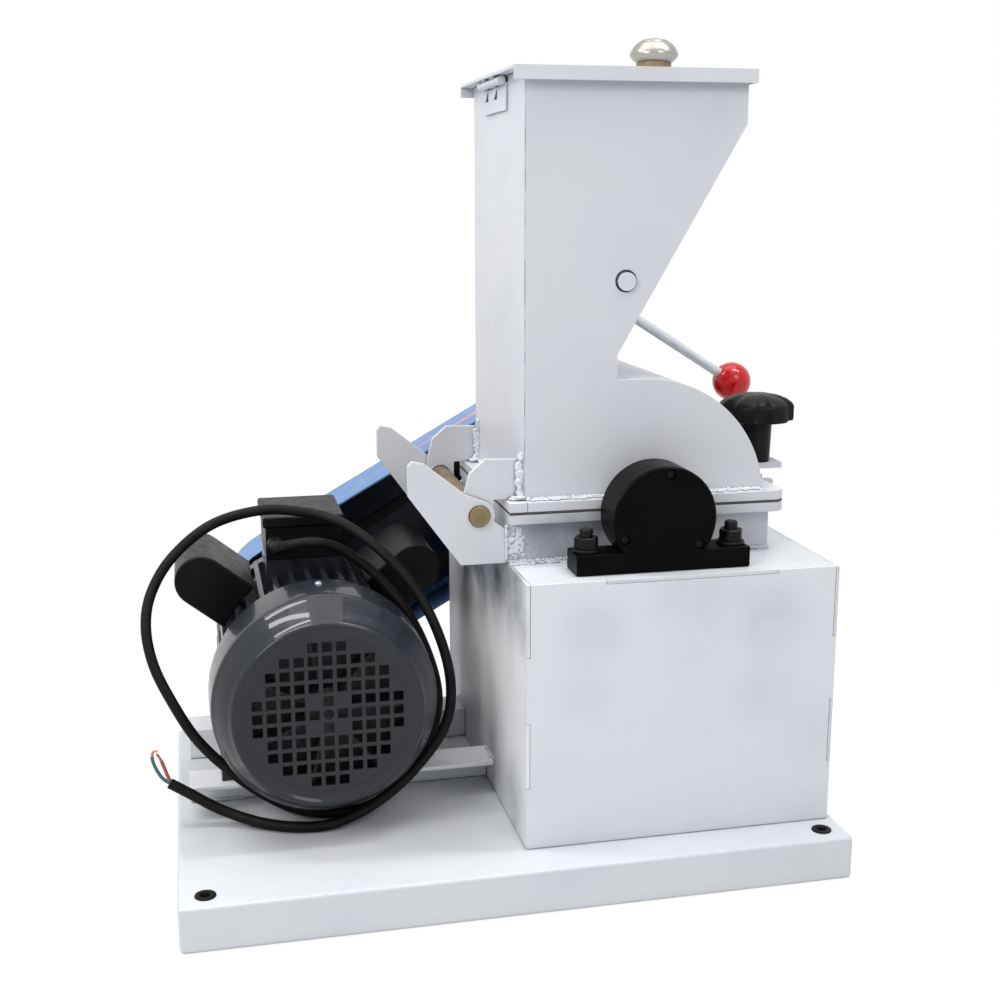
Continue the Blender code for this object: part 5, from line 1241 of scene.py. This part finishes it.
@dataclass
class MainsCord:
    """The motor's cord: out of the terminal box, nearly twice round the fan cover, to two bared wires."""

    radius: float = 0.00475
    step: float = 0.006
    lead: float = 0.006
    exit: Point = (0.1005, 0.2277, 0.275)
    samples: int = 12
    boot_length: float = 0.024
    boot_radius: float = 0.0076
    boot_step: float = 0.002
    boot_ridge: float = 0.0006
    route: tuple[Point, ...] = (
        (0.1010, 0.2140, 0.2768),
        (0.1085, 0.2030, 0.2805),
        (0.1205, 0.1975, 0.2835),
        (0.1345, 0.1975, 0.2835),
        (0.1500, 0.2010, 0.2785),
        (0.1650, 0.2030, 0.2690),
        (0.1890, 0.1980, 0.2490),
        (0.2140, 0.1800, 0.2180),
        (0.2320, 0.1660, 0.1760),
        (0.2376, 0.1560, 0.1370),
        (0.2256, 0.1500, 0.0970),
        (0.2020, 0.1500, 0.0650),
        (0.1730, 0.1440, 0.0480),
        (0.1408, 0.1400, 0.0451),
        (0.1070, 0.1480, 0.0480),
        (0.0770, 0.1520, 0.0638),
        (0.0477, 0.1520, 0.0896),
        (0.0202, 0.1580, 0.1194),
        (0.0000, 0.1640, 0.1550),
        (-0.0140, 0.1750, 0.1860),
        (-0.0190, 0.1880, 0.2170),
        (-0.0130, 0.2000, 0.2450),
        (0.0067, 0.2100, 0.2740),
        (0.0420, 0.2180, 0.3000),
        (0.0860, 0.2280, 0.3090),
        (0.1240, 0.2300, 0.3055),
        (0.1570, 0.2150, 0.2980),
        (0.1886, 0.1900, 0.2780),
        (0.2187, 0.1650, 0.2450),
        (0.2380, 0.1450, 0.2030),
        (0.2460, 0.1350, 0.1600),
        (0.2390, 0.1300, 0.1230),
        (0.2106, 0.1270, 0.0860),
        (0.1750, 0.1230, 0.0590),
        (0.1370, 0.1170, 0.0460),
        (0.1046, 0.1180, 0.0451),
        (0.0717, 0.1330, 0.0460),
        (0.0390, 0.1480, 0.0545),
        (0.0130, 0.1550, 0.0690),
        (-0.0050, 0.1580, 0.0800),
    )
    green_wire: tuple[Point, ...] = (
        (-0.0040, 0.1578, 0.0795),
        (-0.0110, 0.1585, 0.0850),
        (-0.0165, 0.1590, 0.0950),
        (-0.0190, 0.1590, 0.1050),
        (-0.0175, 0.1590, 0.1110),
        (-0.0140, 0.1590, 0.1105),
    )
    red_wire: tuple[Point, ...] = (
        (-0.0040, 0.1582, 0.0805),
        (-0.0065, 0.1580, 0.0870),
        (-0.0090, 0.1580, 0.0950),
        (-0.0118, 0.1580, 0.1030),
        (-0.0150, 0.1580, 0.1085),
    )
    wire_radius: float = 0.0016
    strand_radius: float = 0.0012
    wire_step: float = 0.0015

    def smooth_path(self, points: Sequence[Point], step: float) -> list[Vector]:
        """Draw an even smooth path through points.

        Args:
            points: The points, in the machine's frame.
            step: The distance between two points of the result.

        Returns:
            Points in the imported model's frame.
        """
        spots = [at(*point) for point in points]
        dense = []
        for i in range(len(spots) - 1):
            before, start = spots[max(i - 1, 0)], spots[i]
            end, after = spots[i + 1], spots[min(i + 2, len(spots) - 1)]
            for k in range(self.samples):
                t = k / self.samples
                square = (2 * before - 5 * start + 4 * end - after) * t * t
                cube = (3 * start - before - 3 * end + after) * t * t * t
                dense.append(0.5 * (2 * start + (end - before) * t + square + cube))
        dense.append(spots[-1])
        marks = [0.0]
        for first, second in pairwise(dense):
            marks.append(marks[-1] + (second - first).length)
        count = max(2, round(marks[-1] / step))
        even = []
        index = 0
        for n in range(count + 1):
            wanted = marks[-1] * n / count
            while index < len(dense) - 2 and marks[index + 1] < wanted:
                index += 1
            share = (wanted - marks[index]) / (marks[index + 1] - marks[index])
            even.append(dense[index].lerp(dense[index + 1], share))
        return even

    def tube(self, name: str, path: Sequence[Vector], radii: Sequence[float]) -> Piece:
        """Make a round tube as a curve.

        Args:
            name: Its name.
            path: Its points.
            radii: Its radius at each point.

        Returns:
            The curve object.
        """
        data = bpy.data.curves.new(name, "CURVE")
        data.dimensions = "3D"
        data.bevel_depth = radii[0]
        data.bevel_resolution = 4
        data.use_fill_caps = True
        line = data.splines.new("POLY")
        line.points.add(len(path) - 1)
        for point, place, radius in zip(line.points, path, radii):
            point.co = (*place, 1.0)
            point.radius = radius / radii[0]
        piece = bpy.data.objects.new(name, data)
        bpy.context.scene.collection.objects.link(piece)
        return piece

    def solid_tube(self, name: str, path: Sequence[Vector], radii: Sequence[float]) -> Piece:
        """Make a round tube as a closed, smoothly shaded mesh."""
        piece = self.tube(name, path, radii)
        pick(piece)
        bpy.ops.object.convert(target="MESH")
        piece = bpy.context.active_object
        close_up(piece)
        shade(piece, 50.0)
        return piece

    def bared_wire(self, name: str, points: Sequence[Point], sleeve: Finish) -> list[Piece]:
        """Make one sleeved wire with its copper end.

        Args:
            name: Its name.
            points: Its points, the last one being the copper's end.
            sleeve: The sleeve's finish.

        Returns:
            The sleeve and the copper strands.
        """
        path = self.smooth_path(points, self.wire_step)
        split = len(path) * 4 // 5
        cover = self.solid_tube(name, path[:split], [self.wire_radius] * split)
        rest = path[split - 2 :]
        strands = self.solid_tube(name + "_copper", rest, [self.strand_radius] * len(rest))
        hang(cover, Body.BASE, sleeve)
        hang(strands, Body.BASE, COPPER)
        return [cover, strands]

    def build(self) -> None:
        start = self.exit
        lead = (start[0], start[1] - self.lead, start[2])
        path = [at(*start), *self.smooth_path((lead, *self.route), self.step)]
        cord = self.tube("mains_cord_lead", path, [self.radius] * len(path))
        hang(cord, Body.BASE, RUBBER)
        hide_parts("mains_cord")
        boot_path = self.smooth_path((start, lead, *self.route[:3]), self.boot_step)
        count = round(self.boot_length / self.boot_step)
        taper = []
        for k in range(count):
            ridge = self.boot_ridge if k % 3 == 1 else 0.0
            taper.append(self.boot_radius + (self.radius * 1.06 - self.boot_radius) * k / (count - 1) + ridge)
        boot = self.solid_tube("cord_boot", boot_path[:count], taper)
        hang(boot, Body.BASE, RUBBER)
        wires = self.bared_wire("green_wire", self.green_wire, GREEN_SLEEVE)
        wires += self.bared_wire("red_wire", self.red_wire, RED_SLEEVE)


@dataclass
class BasePan:
    """The folded base pan with a rubber bush in each fixing hole."""

    holes: tuple[Pair, ...] = ((0.022, 0.0195), (0.558, 0.0195), (0.022, 0.3725))
    top: float = 0.040
    bush_flange: float = 0.0088
    bush_bore: float = 0.0042
    bush_sleeve: float = 0.0077

    def build(self) -> None:
        """Dress the pan and press a bush into each hole."""
        dressed("base_pan", Body.BASE, PAN_WHITE, 0.0006)
        profile = [
            (self.bush_flange, 0.0002),
            (self.bush_flange - 0.0003, 0.0011),
            (self.bush_flange - 0.0016, 0.0016),
            (self.bush_bore + 0.0006, 0.0013),
            (self.bush_bore, 0.0004),
            (self.bush_bore, -0.0050),
            (self.bush_sleeve, -0.0050),
            (self.bush_sleeve, 0.0002),
        ]
        first = turned("fixing_bush_1", profile, at(*self.holes[0], self.top), Axis.Z, 40, ring=True)
        shade(first)
        bushes = [first]
        for number, (x, y) in enumerate(self.holes[1:], start=2):
            shift = Vector((x - self.holes[0][0], y - self.holes[0][1], 0.0))
            bushes.append(copied(first, f"fixing_bush_{number}", shift))
        for bush in bushes:
            hang(bush, Body.BASE, BLACK_OXIDE_AND_SHADE)
        LOG.info("base pan: %d bushes", len(bushes))


@dataclass
class Stand:
    """The cabinet of finger-jointed sheets under the chamber, and its drawer."""

    sheets: tuple[tuple[str, SheetPaint], ...] = (
        ("stand_front", STAND_WHITE_LIT),
        ("stand_left", SIDE_WHITE_SHADED),
        ("stand_right", WHITE),
        ("stand_top", PAN_WHITE),
        ("collecting_drawer", WHITE),
    )

    def build(self) -> None:
        """Dress the sheets and the drawer."""
        for node, finish in self.sheets:
            dressed(node, Body.BASE, finish, 0.0004)
        LOG.info("stand: %d sheets", len(self.sheets))


@dataclass
class Chamber:
    """The crushing chamber: both housings, their gaskets and hinge plates, and their welds."""

    weld_runs: tuple[tuple[str, Body, Point, Point, float], ...] = (
        ("hopper_foot_front", Body.HOUSING, (0.309, 0.1135, 0.3325), (0.528, 0.1135, 0.3325), 0.0021),
        ("hopper_foot_left", Body.HOUSING, (0.3075, 0.127, 0.3325), (0.3075, 0.300, 0.3325), 0.0026),
        ("hopper_foot_back", Body.HOUSING, (0.309, 0.3185, 0.3325), (0.528, 0.3185, 0.3325), 0.0021),
        ("front_plate_weld", Body.HOUSING, (0.3068, 0.1185, 0.3345), (0.3068, 0.1185, 0.3700), 0.0026),
        ("back_plate_weld", Body.HOUSING, (0.3068, 0.3030, 0.3345), (0.3068, 0.3030, 0.3700), 0.0026),
        ("lower_foot_front", Body.BASE, (0.294, 0.1135, 0.2775), (0.536, 0.1135, 0.2775), 0.0020),
        ("lower_foot_left", Body.BASE, (0.2925, 0.122, 0.2775), (0.2925, 0.306, 0.2775), 0.0022),
        ("lower_foot_right", Body.BASE, (0.5375, 0.115, 0.2775), (0.5375, 0.317, 0.2775), 0.0022),
        ("lower_plate_weld_front", Body.BASE, (0.2925, 0.1133, 0.279), (0.2925, 0.1133, 0.311), 0.0018),
        ("lower_plate_weld_back", Body.BASE, (0.2925, 0.3147, 0.279), (0.2925, 0.3147, 0.311), 0.0018),
    )
    upper_droplets: tuple[Droplets, ...] = (
        ("foot_spatter_front", (0.31, 0.1075, 0.3324), (0.4, 0.113, 0.333), 80, 0.0008, 0.002),
        ("foot_spatter_right", (0.47, 0.1075, 0.3324), (0.528, 0.113, 0.333), 50, 0.0008, 0.0019),
        ("corner_spatter", (0.2985, 0.1125, 0.333), (0.307, 0.118, 0.335), 34, 0.0014, 0.0028),
        ("corner_spatter_back", (0.2985, 0.298, 0.333), (0.307, 0.303, 0.335), 30, 0.0014, 0.0028),
        ("plate_lumps_front", (0.304, 0.1155, 0.334), (0.308, 0.1175, 0.372), 30, 0.0018, 0.0034),
        ("plate_lumps_back", (0.304, 0.3, 0.334), (0.308, 0.302, 0.372), 30, 0.0018, 0.0032),
    )
    base_droplets: tuple[Droplets, ...] = (
        ("stand_spatter", (0.296, 0.105, 0.2766), (0.345, 0.1125, 0.2772), 90, 0.0008, 0.002),
        ("wall_spatter", (0.294, 0.1134, 0.279), (0.308, 0.114, 0.308), 60, 0.0008, 0.0018),
    )

    def build(self) -> None:
        """Dress the housings, lay the welds and scatter the droplets beside them."""
        dressed("lower_housing", Body.BASE, HOUSING_WHITE_SHADED, 0.0006)
        dressed("hopper_shell", Body.HOUSING, HOPPER_WHITE, 0.0006)
        for node in ("gasket_left", "gasket_right"):
            refinished(node, GASKET)
        for half, body in (("lower", Body.BASE), ("upper", Body.HOUSING)):
            for side in ("front", "back"):
                dressed(f"{half}_hinge_plate_{side}", body, WHITE)
        dressed("hinge_pin", Body.BASE, ZINC, 0.0010)
        for seed, (name, body, start, end, radius) in enumerate(self.weld_runs):
            hang(bead(name, at(*start), at(*end), radius, seed), body, WELD_WHITE)
        for body, groups in ((Body.HOUSING, self.upper_droplets), (Body.BASE, self.base_droplets)):
            for name, low, high, count, smallest, largest in groups:
                drops = spatter(name, at(*low), at(*high), count, (smallest, largest), len(name))
                hang(drops, body, WELD_WHITE)
        LOG.info("chamber: %d weld runs", len(self.weld_runs))


@dataclass
class HopperLid:
    """The lid, painted shade in the small openings of its hinge, and its turned knob."""

    knob_x: float = 0.453
    knob_y: float = 0.216
    knob_foot: float = 0.6948
    knob_radius: float = 0.022
    knob_height: float = 0.0345
    knob_neck: float = 0.0138
    window_place: Point = (0.3055, 0.250, 0.678)
    window_step: float = 0.036
    window: Pair = (0.011, 0.008)

    def build(self) -> None:
        """Dress the lid and turn its knob and the knob's foot."""
        dressed("lid", Body.LID, WHITE, 0.0008, 3)
        refinished("hopper_hinge_leaf", WHITE)
        wide = self.knob_radius
        neck = self.knob_neck
        top = self.knob_height
        centre = at(self.knob_x, self.knob_y, self.knob_foot)
        foot_profile = [(wide * 0.70, 0.0), (wide * 0.72, 0.0008), (wide * 0.72, neck), (TIP, neck)]
        foot = turned("lid_knob_foot", foot_profile, centre, Axis.Z, 72)
        shade(foot, 40.0)
        hang(foot, Body.LID, ZINC)
        profile = [
            (TIP, neck - 0.0006),
            (wide * 0.74, neck - 0.0004),
            (wide * 0.82, 0.0143),
            (wide * 0.90, 0.0160),
            (wide * 0.96, 0.0180),
            (wide * 0.995, 0.0196),
            (wide * 1.00, 0.0203),
            (wide * 0.985, 0.0214),
            (wide * 0.94, 0.0238),
            (wide * 0.86, 0.0266),
            (wide * 0.74, 0.0294),
            (wide * 0.64, 0.0311),
            (wide * 0.62, 0.0311),
            (wide * 0.60, 0.0317),
            (wide * 0.44, 0.0333),
            (wide * 0.22, top - 0.0003),
            (TIP, top),
        ]
        knob = turned("turned_lid_knob", profile, centre, Axis.Z, 72)
        shade(knob, 40.0)
        hang(knob, Body.LID, NICKEL)
        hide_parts("lid_knob")
        self.hinge_gap_shade()
        LOG.info("lid and knob")

    def hinge_gap_shade(self) -> None:
        """Two small black sheets on the leaf of the lid's hinge: painted shade in its openings."""
        wide, tall = self.window
        outline = [(-tall / 2, -wide / 2), (tall / 2, -wide / 2), (tall / 2, wide / 2)]
        levels = [(0.94, 0.0), (1.0, 0.0001), (1.0, 0.0003), (0.94, 0.0004)]
        first = lofted("hinge_gap_shade_1", outline, levels)
        first.rotation_euler = Axis.X.value
        first.location = at(*self.window_place)
        settle(first)
        second = copied(first, "hinge_gap_shade_2", Vector((0.0, -self.window_step, 0.0)))
        for window in (first, second):
            hang(window, Body.HOUSING, BLACK_OXIDE_AND_SHADE)


@dataclass
class FeedGate:
    """The gate flap on its shaft, its rod and the red ball."""

    ball: Point = (0.585, 0.330, 0.4003)
    ball_radius: float = 0.020
    ball_neck: float = 0.0085
    rod_hole: float = 0.0056
    slope: float = math.radians(-32.4)
    shaft_end: Point = (0.3976, 0.1141, 0.5194)
    gap_ring: Pair = (0.0086, 0.0095)

    def build(self) -> None:
        """Dress the flap and lever and turn the ball."""
        dressed("gate_flap", Body.GATE, WHITE, 0.0004)
        dressed("gate_lever", Body.GATE, GALVANISED, 0.0005)
        start = math.degrees(math.acos(self.ball_neck / self.ball_radius))
        profile = [(TIP, -self.ball_radius), *arc(self.ball_radius, (0.0, 0.0), -85.0, start, 28)]
        height = profile[-1][1]
        profile += [(self.ball_neck - 0.0008, height + 0.0001), (self.rod_hole, height - 0.0004)]
        ball = turned("turned_ball", profile, Vector(), Axis.Z, 56)
        toward_hub = Vector((-math.cos(self.slope), 0.0, -math.sin(self.slope)))
        stand_along(ball, toward_hub, at(*self.ball))
        shade(ball, 40.0)
        hang(ball, Body.GATE, RED)
        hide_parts("lever_ball")
        self.shadow_ring()
        LOG.info("feed gate")

    def shadow_ring(self) -> None:
        """A thin black ring round the shaft's front end: painted shade in the gap between the shaft and its
        hole.
        """
        inner, outer = self.gap_ring
        profile = [(outer, 0.0), (outer, 0.0005), (outer - 0.0002, 0.0007), (inner, 0.0007), (inner, 0.0)]
        ring = turned("shaft_gap_shade", profile, at(*self.shaft_end), Axis.FRONT, 48, ring=True)
        hang(ring, Body.HOUSING, BLACK_OXIDE_AND_SHADE)


@dataclass
class Clamp:
    """The star knob that holds the two flanges together."""

    x: float = 0.565
    y: float = 0.216
    seat: float = 0.338
    under: float = 0.378
    top: float = 0.404
    radius: float = 0.036
    hub_top: float = 0.0158
    hub_foot: float = 0.0145
    lobes: int = 6
    lobe_steps: int = 20
    turn: float = math.radians(19.3)
    valley: float = 0.845
    valley_share: float = 0.42
    stud_radius: float = 0.005
    stud_bottom: float = 0.306

    def outline(self) -> list[Pair]:
        """The star's outline: broad flat lobes with a round valley between each two."""
        points = []
        count = self.lobes * self.lobe_steps
        for k in range(count):
            angle = math.tau * k / count
            phase = abs(((angle * self.lobes / math.tau) % 1.0) - 0.5) * 2
            bow = max(0.0, 1 - ((1 - phase) / self.valley_share) ** 2) ** 0.5
            reach = self.radius * (1 - (1 - self.valley) * bow)
            points.append((reach * math.cos(angle + self.turn), reach * math.sin(angle + self.turn)))
        return points

    def build(self) -> None:
        """Model the star, its hub and its stud."""
        rise = self.top - self.under
        dome = [
            (0.93, 0.0),
            (0.985, 0.0008),
            (1.00, 0.0025),
            (1.00, rise * 0.52),
            (0.985, rise * 0.60),
            (0.94, rise * 0.68),
            (0.82, rise * 0.80),
            (0.62, rise * 0.91),
            (0.38, rise * 0.975),
            (0.15, rise),
        ]
        star = lofted("star_top", self.outline(), dome)
        star.location = at(self.x, self.y, self.under)
        settle(star)
        foot = at(self.x, self.y, self.seat)
        hub_profile = [
            (self.hub_foot - 0.001, 0.0),
            (self.hub_foot, 0.001),
            (self.hub_top, self.under - self.seat + 0.004),
            (self.hub_top - 0.004, self.under - self.seat + 0.005),
        ]
        hub = turned("star_hub", hub_profile, foot, Axis.Z, 40)
        knob = fused("moulded_star_knob", [star, hub])
        shade(knob, 32.0)
        hang(knob, Body.CLAMP, KNOB_PLASTIC)
        stud_profile = [(self.stud_radius - 0.001, 0.0), (self.stud_radius, 0.001)]
        height = 0.002
        while height < self.seat - self.stud_bottom + 0.004:
            stud_profile += [(self.stud_radius - 0.0006, height), (self.stud_radius, height + 0.0007)]
            height += 0.0015
        stud_profile.append((self.stud_radius - 0.0005, height))
        stud = turned("threaded_stud", stud_profile, at(self.x, self.y, self.stud_bottom), Axis.Z, 24)
        shade(stud)
        hang(stud, Body.CLAMP, BARE_STEEL)
        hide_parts("star_knob")
        LOG.info("clamp knob")


@dataclass
class Bearing:
    """One bearing housing with its two studs, nuts and washers."""

    node: str
    foot_middle: float
    face: float
    faces_front: bool
    x: float = 0.418
    z: float = 0.322
    foot_top: float = 0.2946
    stud_spread: float = 0.0655
    washer_radius: float = 0.0122
    washer_height: float = 0.0024
    nut_radius: float = 0.0107
    nut_height: float = 0.0102
    stud_radius: float = 0.0060
    stud_rise: float = 0.0060
    pitch: float = 0.0014
    screw_circle: float = 0.039
    screw_radius: float = 0.0036
    screw_depth: float = 0.0040
    screw_turn: float = math.radians(84)

    def fastener(self) -> Piece:
        """Make a washer, a nut and the end of a stud as one piece at the left place."""
        base = at(self.x - self.stud_spread, self.foot_middle, self.foot_top + 0.0002)
        low = self.washer_height
        wide = self.washer_radius
        rim = [(wide - 0.0004, 0.0), (wide, 0.0004), (wide, low - 0.0004), (wide - 0.0005, low)]
        washer = turned(self.node + "_washer", rim, base, Axis.Z, 36)
        top = low + self.nut_height
        flats = [
            (self.nut_radius * 0.93, low),
            (self.nut_radius, low + 0.0007),
            (self.nut_radius, top - 0.0008),
            (self.nut_radius * 0.90, top),
            (self.stud_radius * 1.12, top),
            (self.stud_radius * 1.02, top - 0.0006),
        ]
        nut = turned(self.node + "_nut", flats, base, Axis.Z, 6)
        threads = [(self.stud_radius, top - 0.001)]
        height = top
        while height < top + self.stud_rise - 0.0015:
            threads += [(self.stud_radius * 0.92, height + 0.0004), (self.stud_radius, height + 0.0010)]
            height += self.pitch
        threads += [(self.stud_radius * 0.9, height + 0.0008), (self.stud_radius * 0.82, height + 0.0014)]
        stud = turned(self.node + "_stud", threads, base, Axis.Z, 28)
        piece = fused(self.node + "_fastener_1", [washer, nut, stud])
        soften(piece, 0.0002, 1, 50.0)
        shade(piece, 30.0)
        return piece

    def build(self) -> None:
        """Dress the housing and bolt it down."""
        dressed(self.node, Body.BASE, BLACK, 0.0012, 3)
        first = self.fastener()
        second = copied(first, self.node + "_fastener_2", Vector((self.stud_spread * 2, 0.0, 0.0)))
        for piece in (first, second):
            hang(piece, Body.BASE, BLACK_OXIDE_AND_SHADE)
        if self.faces_front:
            self.cap_screws()
        LOG.info("%s", self.node)

    def cap_screws(self) -> None:
        """Set a socket screw at the bottom of each well in the face."""
        head = self.screw_radius
        profile = [(head, 0.0), (head, 0.0014), (head - 0.0005, 0.0019)]
        profile += [(0.0019, 0.0019), (0.0017, 0.0009), (TIP, 0.0009)]
        for number in range(3):
            angle = self.screw_turn + math.tau * number / 3
            x = self.x + self.screw_circle * math.cos(angle)
            z = self.z + self.screw_circle * math.sin(angle)
            place = at(x, self.face + self.screw_depth, z)
            screw = turned(f"{self.node}_cap_screw_{number + 1}", profile, place, Axis.FRONT, 24)
            shade(screw, 30.0)
            hang(screw, Body.BASE, BLACK_OXIDE_AND_SHADE)


@dataclass
class Rotor:
    """What turns in the chamber, seen when the hopper is swung open, and the grate under it."""

    hammer_rows: int = 4

    def build(self) -> None:
        """Finish the rotor, its hammers and the grate."""
        refinished("rotor_body", BARE_STEEL)
        for row in range(1, self.hammer_rows + 1):
            dressed(f"hammer_row_{row}", Body.ROTOR, FORGED, 0.0008)
        refinished("grate", FORGED)
        LOG.info("rotor: %d hammer rows", self.hammer_rows)


@dataclass
class BeltDrive:
    """Both pulleys, the belt and the blue guard over them."""

    pulleys: tuple[str, ...] = ("rotor_pulley", "motor_pulley")

    def build(self) -> None:
        """Finish the drive."""
        for pulley in self.pulleys:
            refinished(pulley, BARE_STEEL)
        refinished("drive_belt", RUBBER)
        dressed("belt_guard", Body.BASE, GUARD_BLUE, 0.0006)
        LOG.info("belt drive")


@dataclass
class Motor:
    """The motor: fan cover, grille, fan, ribbed body, terminal box and two capacitor covers."""

    x: float = 0.1313
    z: float = 0.1604
    face: float = 0.082
    back: float = 0.160
    radius: float = 0.099
    lip: float = 0.081
    grille: float = 0.0705
    sheet: float = 0.002
    bend: float = 0.0070
    sag: float = 0.00049
    cover_screws: tuple[float, ...] = (90.0, 210.0, 330.0)
    screw_y: float = 0.146
    screw_radius: float = 0.0036
    capacitors: tuple[str, ...] = ("capacitor_cover_left", "capacitor_cover_right")

    def build(self) -> None:
        """Model the cover and dress the rest."""
        self.fan_cover()
        refinished("fan_grille", MOTOR_GREY)
        refinished("cooling_fan", FAN_PLASTIC)
        refinished("motor_body", MOTOR_GREY)
        dressed("terminal_box", Body.BASE, DARK_PLASTIC, 0.0010)
        dressed("terminal_box_lid", Body.BASE, DARK_PLASTIC, 0.0014, 3)
        for node in self.capacitors:
            dressed(node, Body.BASE, DARK_PLASTIC, 0.0022, 3)
        self.screws()
        LOG.info("motor")

    def fan_cover(self) -> None:
        """Press the fan cover: a straight wall, a sloped shoulder, a rolled lip and the grille's recess."""
        depth = self.back - self.face
        outer = [(self.radius, depth - 0.0008), (self.radius, depth - 0.014)]
        outer += [(self.radius - 0.0002, depth - 0.030), (self.radius - 0.0008, 0.0345)]
        outer += arc(self.bend, (self.radius - 0.0010 - self.bend, 0.0300), -6.0, -42.0, 5)
        foot = (self.lip + 0.0016, 0.0032)
        start = outer[-1]
        for share in (0.2, 0.4, 0.6, 0.8):
            sag = self.sag * math.sin(math.pi * share)
            across = start[0] + (foot[0] - start[0]) * share + sag
            outer.append((across, start[1] + (foot[1] - start[1]) * share - sag))
        lip = [foot, (self.lip + 0.0009, 0.0012), (self.lip - 0.0006, 0.0002), (self.lip - 0.0018, 0.0)]
        lip += [(self.lip - 0.0030, 0.0005), (self.lip - 0.0042, 0.0018)]
        hole = self.grille
        recess = [(hole + 0.0042, 0.0026), (hole + 0.0010, 0.0034), (hole - 0.0010, 0.0037)]
        inner = [(hole - 0.0010, 0.0042), (hole + 0.0030, 0.0064), (self.lip + 0.0010, 0.0074)]
        inner += [(self.radius - 0.006, 0.0200), (self.radius - self.sheet - 0.0012, 0.0340)]
        inner += [(self.radius - self.sheet, depth - 0.030), (self.radius - self.sheet, depth - 0.0002)]
        profile = [*outer, *lip, *recess, *inner]
        cover = turned("pressed_fan_cover", profile, at(self.x, self.face, self.z), Axis.Y, 128, ring=True)
        shade(cover, 60.0)
        hang(cover, Body.BASE, MOTOR_GREY)
        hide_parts("fan_cover")

    def screws(self) -> None:
        """Three pan-head screws that hold the fan cover."""
        head = self.screw_radius
        profile = [(head, 0.0), (head, 0.0008), (head * 0.8, 0.0019), (0.0008, 0.0023)]
        for number, degrees in enumerate(self.cover_screws, start=1):
            angle = math.radians(degrees)
            outward = Vector((math.cos(angle), 0.0, math.sin(angle)))
            screw = turned(f"cover_screw_{number}", profile, Vector(), Axis.Z, 24)
            stand_along(screw, outward, at(self.x, self.screw_y, self.z) + outward * (self.radius - 0.0004))
            shade(screw, 40.0)
            hang(screw, Body.BASE, BARE_STEEL)


@dataclass
class Rails:
    """The two steel angles under the motor, welded to the pan and the stand."""

    welds: tuple[tuple[str, Point, Point, float], ...] = (
        ("rail_weld_front", (0.016, 0.2000, 0.0412), (0.060, 0.2000, 0.0412), 0.0016),
        ("rail_weld_right", (0.2925, 0.168, 0.0705), (0.2925, 0.203, 0.0705), 0.0020),
        ("rail_weld_back", (0.2925, 0.309, 0.0705), (0.2925, 0.343, 0.0705), 0.0020),
    )

    def build(self) -> None:
        """Dress the rails and weld them on."""
        for node in ("motor_rail_front", "motor_rail_back"):
            dressed(node, Body.BASE, RAIL_WHITE_LIT, 0.0007)
        for seed, (name, start, end, radius) in enumerate(self.welds, start=40):
            hang(bead(name, at(*start), at(*end), radius, seed), Body.BASE, WELD_WHITE)
        LOG.info("rails")


@dataclass
class Crusher:
    """The whole machine, in the order in which it is built."""

    parts: list[Part] = field(default_factory=list)

    def assemble(self) -> None:
        """List the sub-assemblies and build them one by one."""
        self.parts = [
            MainsCord(),
            BasePan(),
            Stand(),
            Chamber(),
            HopperLid(),
            FeedGate(),
            Clamp(),
            Bearing("front_bearing", 0.0715, 0.055, True),
            Bearing("rear_bearing", 0.3585, 0.375, False),
            Rotor(),
            BeltDrive(),
            Motor(),
            Rails(),
        ]
        for part in self.parts:
            part.build()


def main() -> None:
    """Set up the studio, then build every piece and log each sub-assembly."""
    logging.basicConfig(level=logging.INFO, format="%(name)s: %(message)s")
    Studio().build()
    Crusher().assemble()


if __name__ == "__main__":
    main()
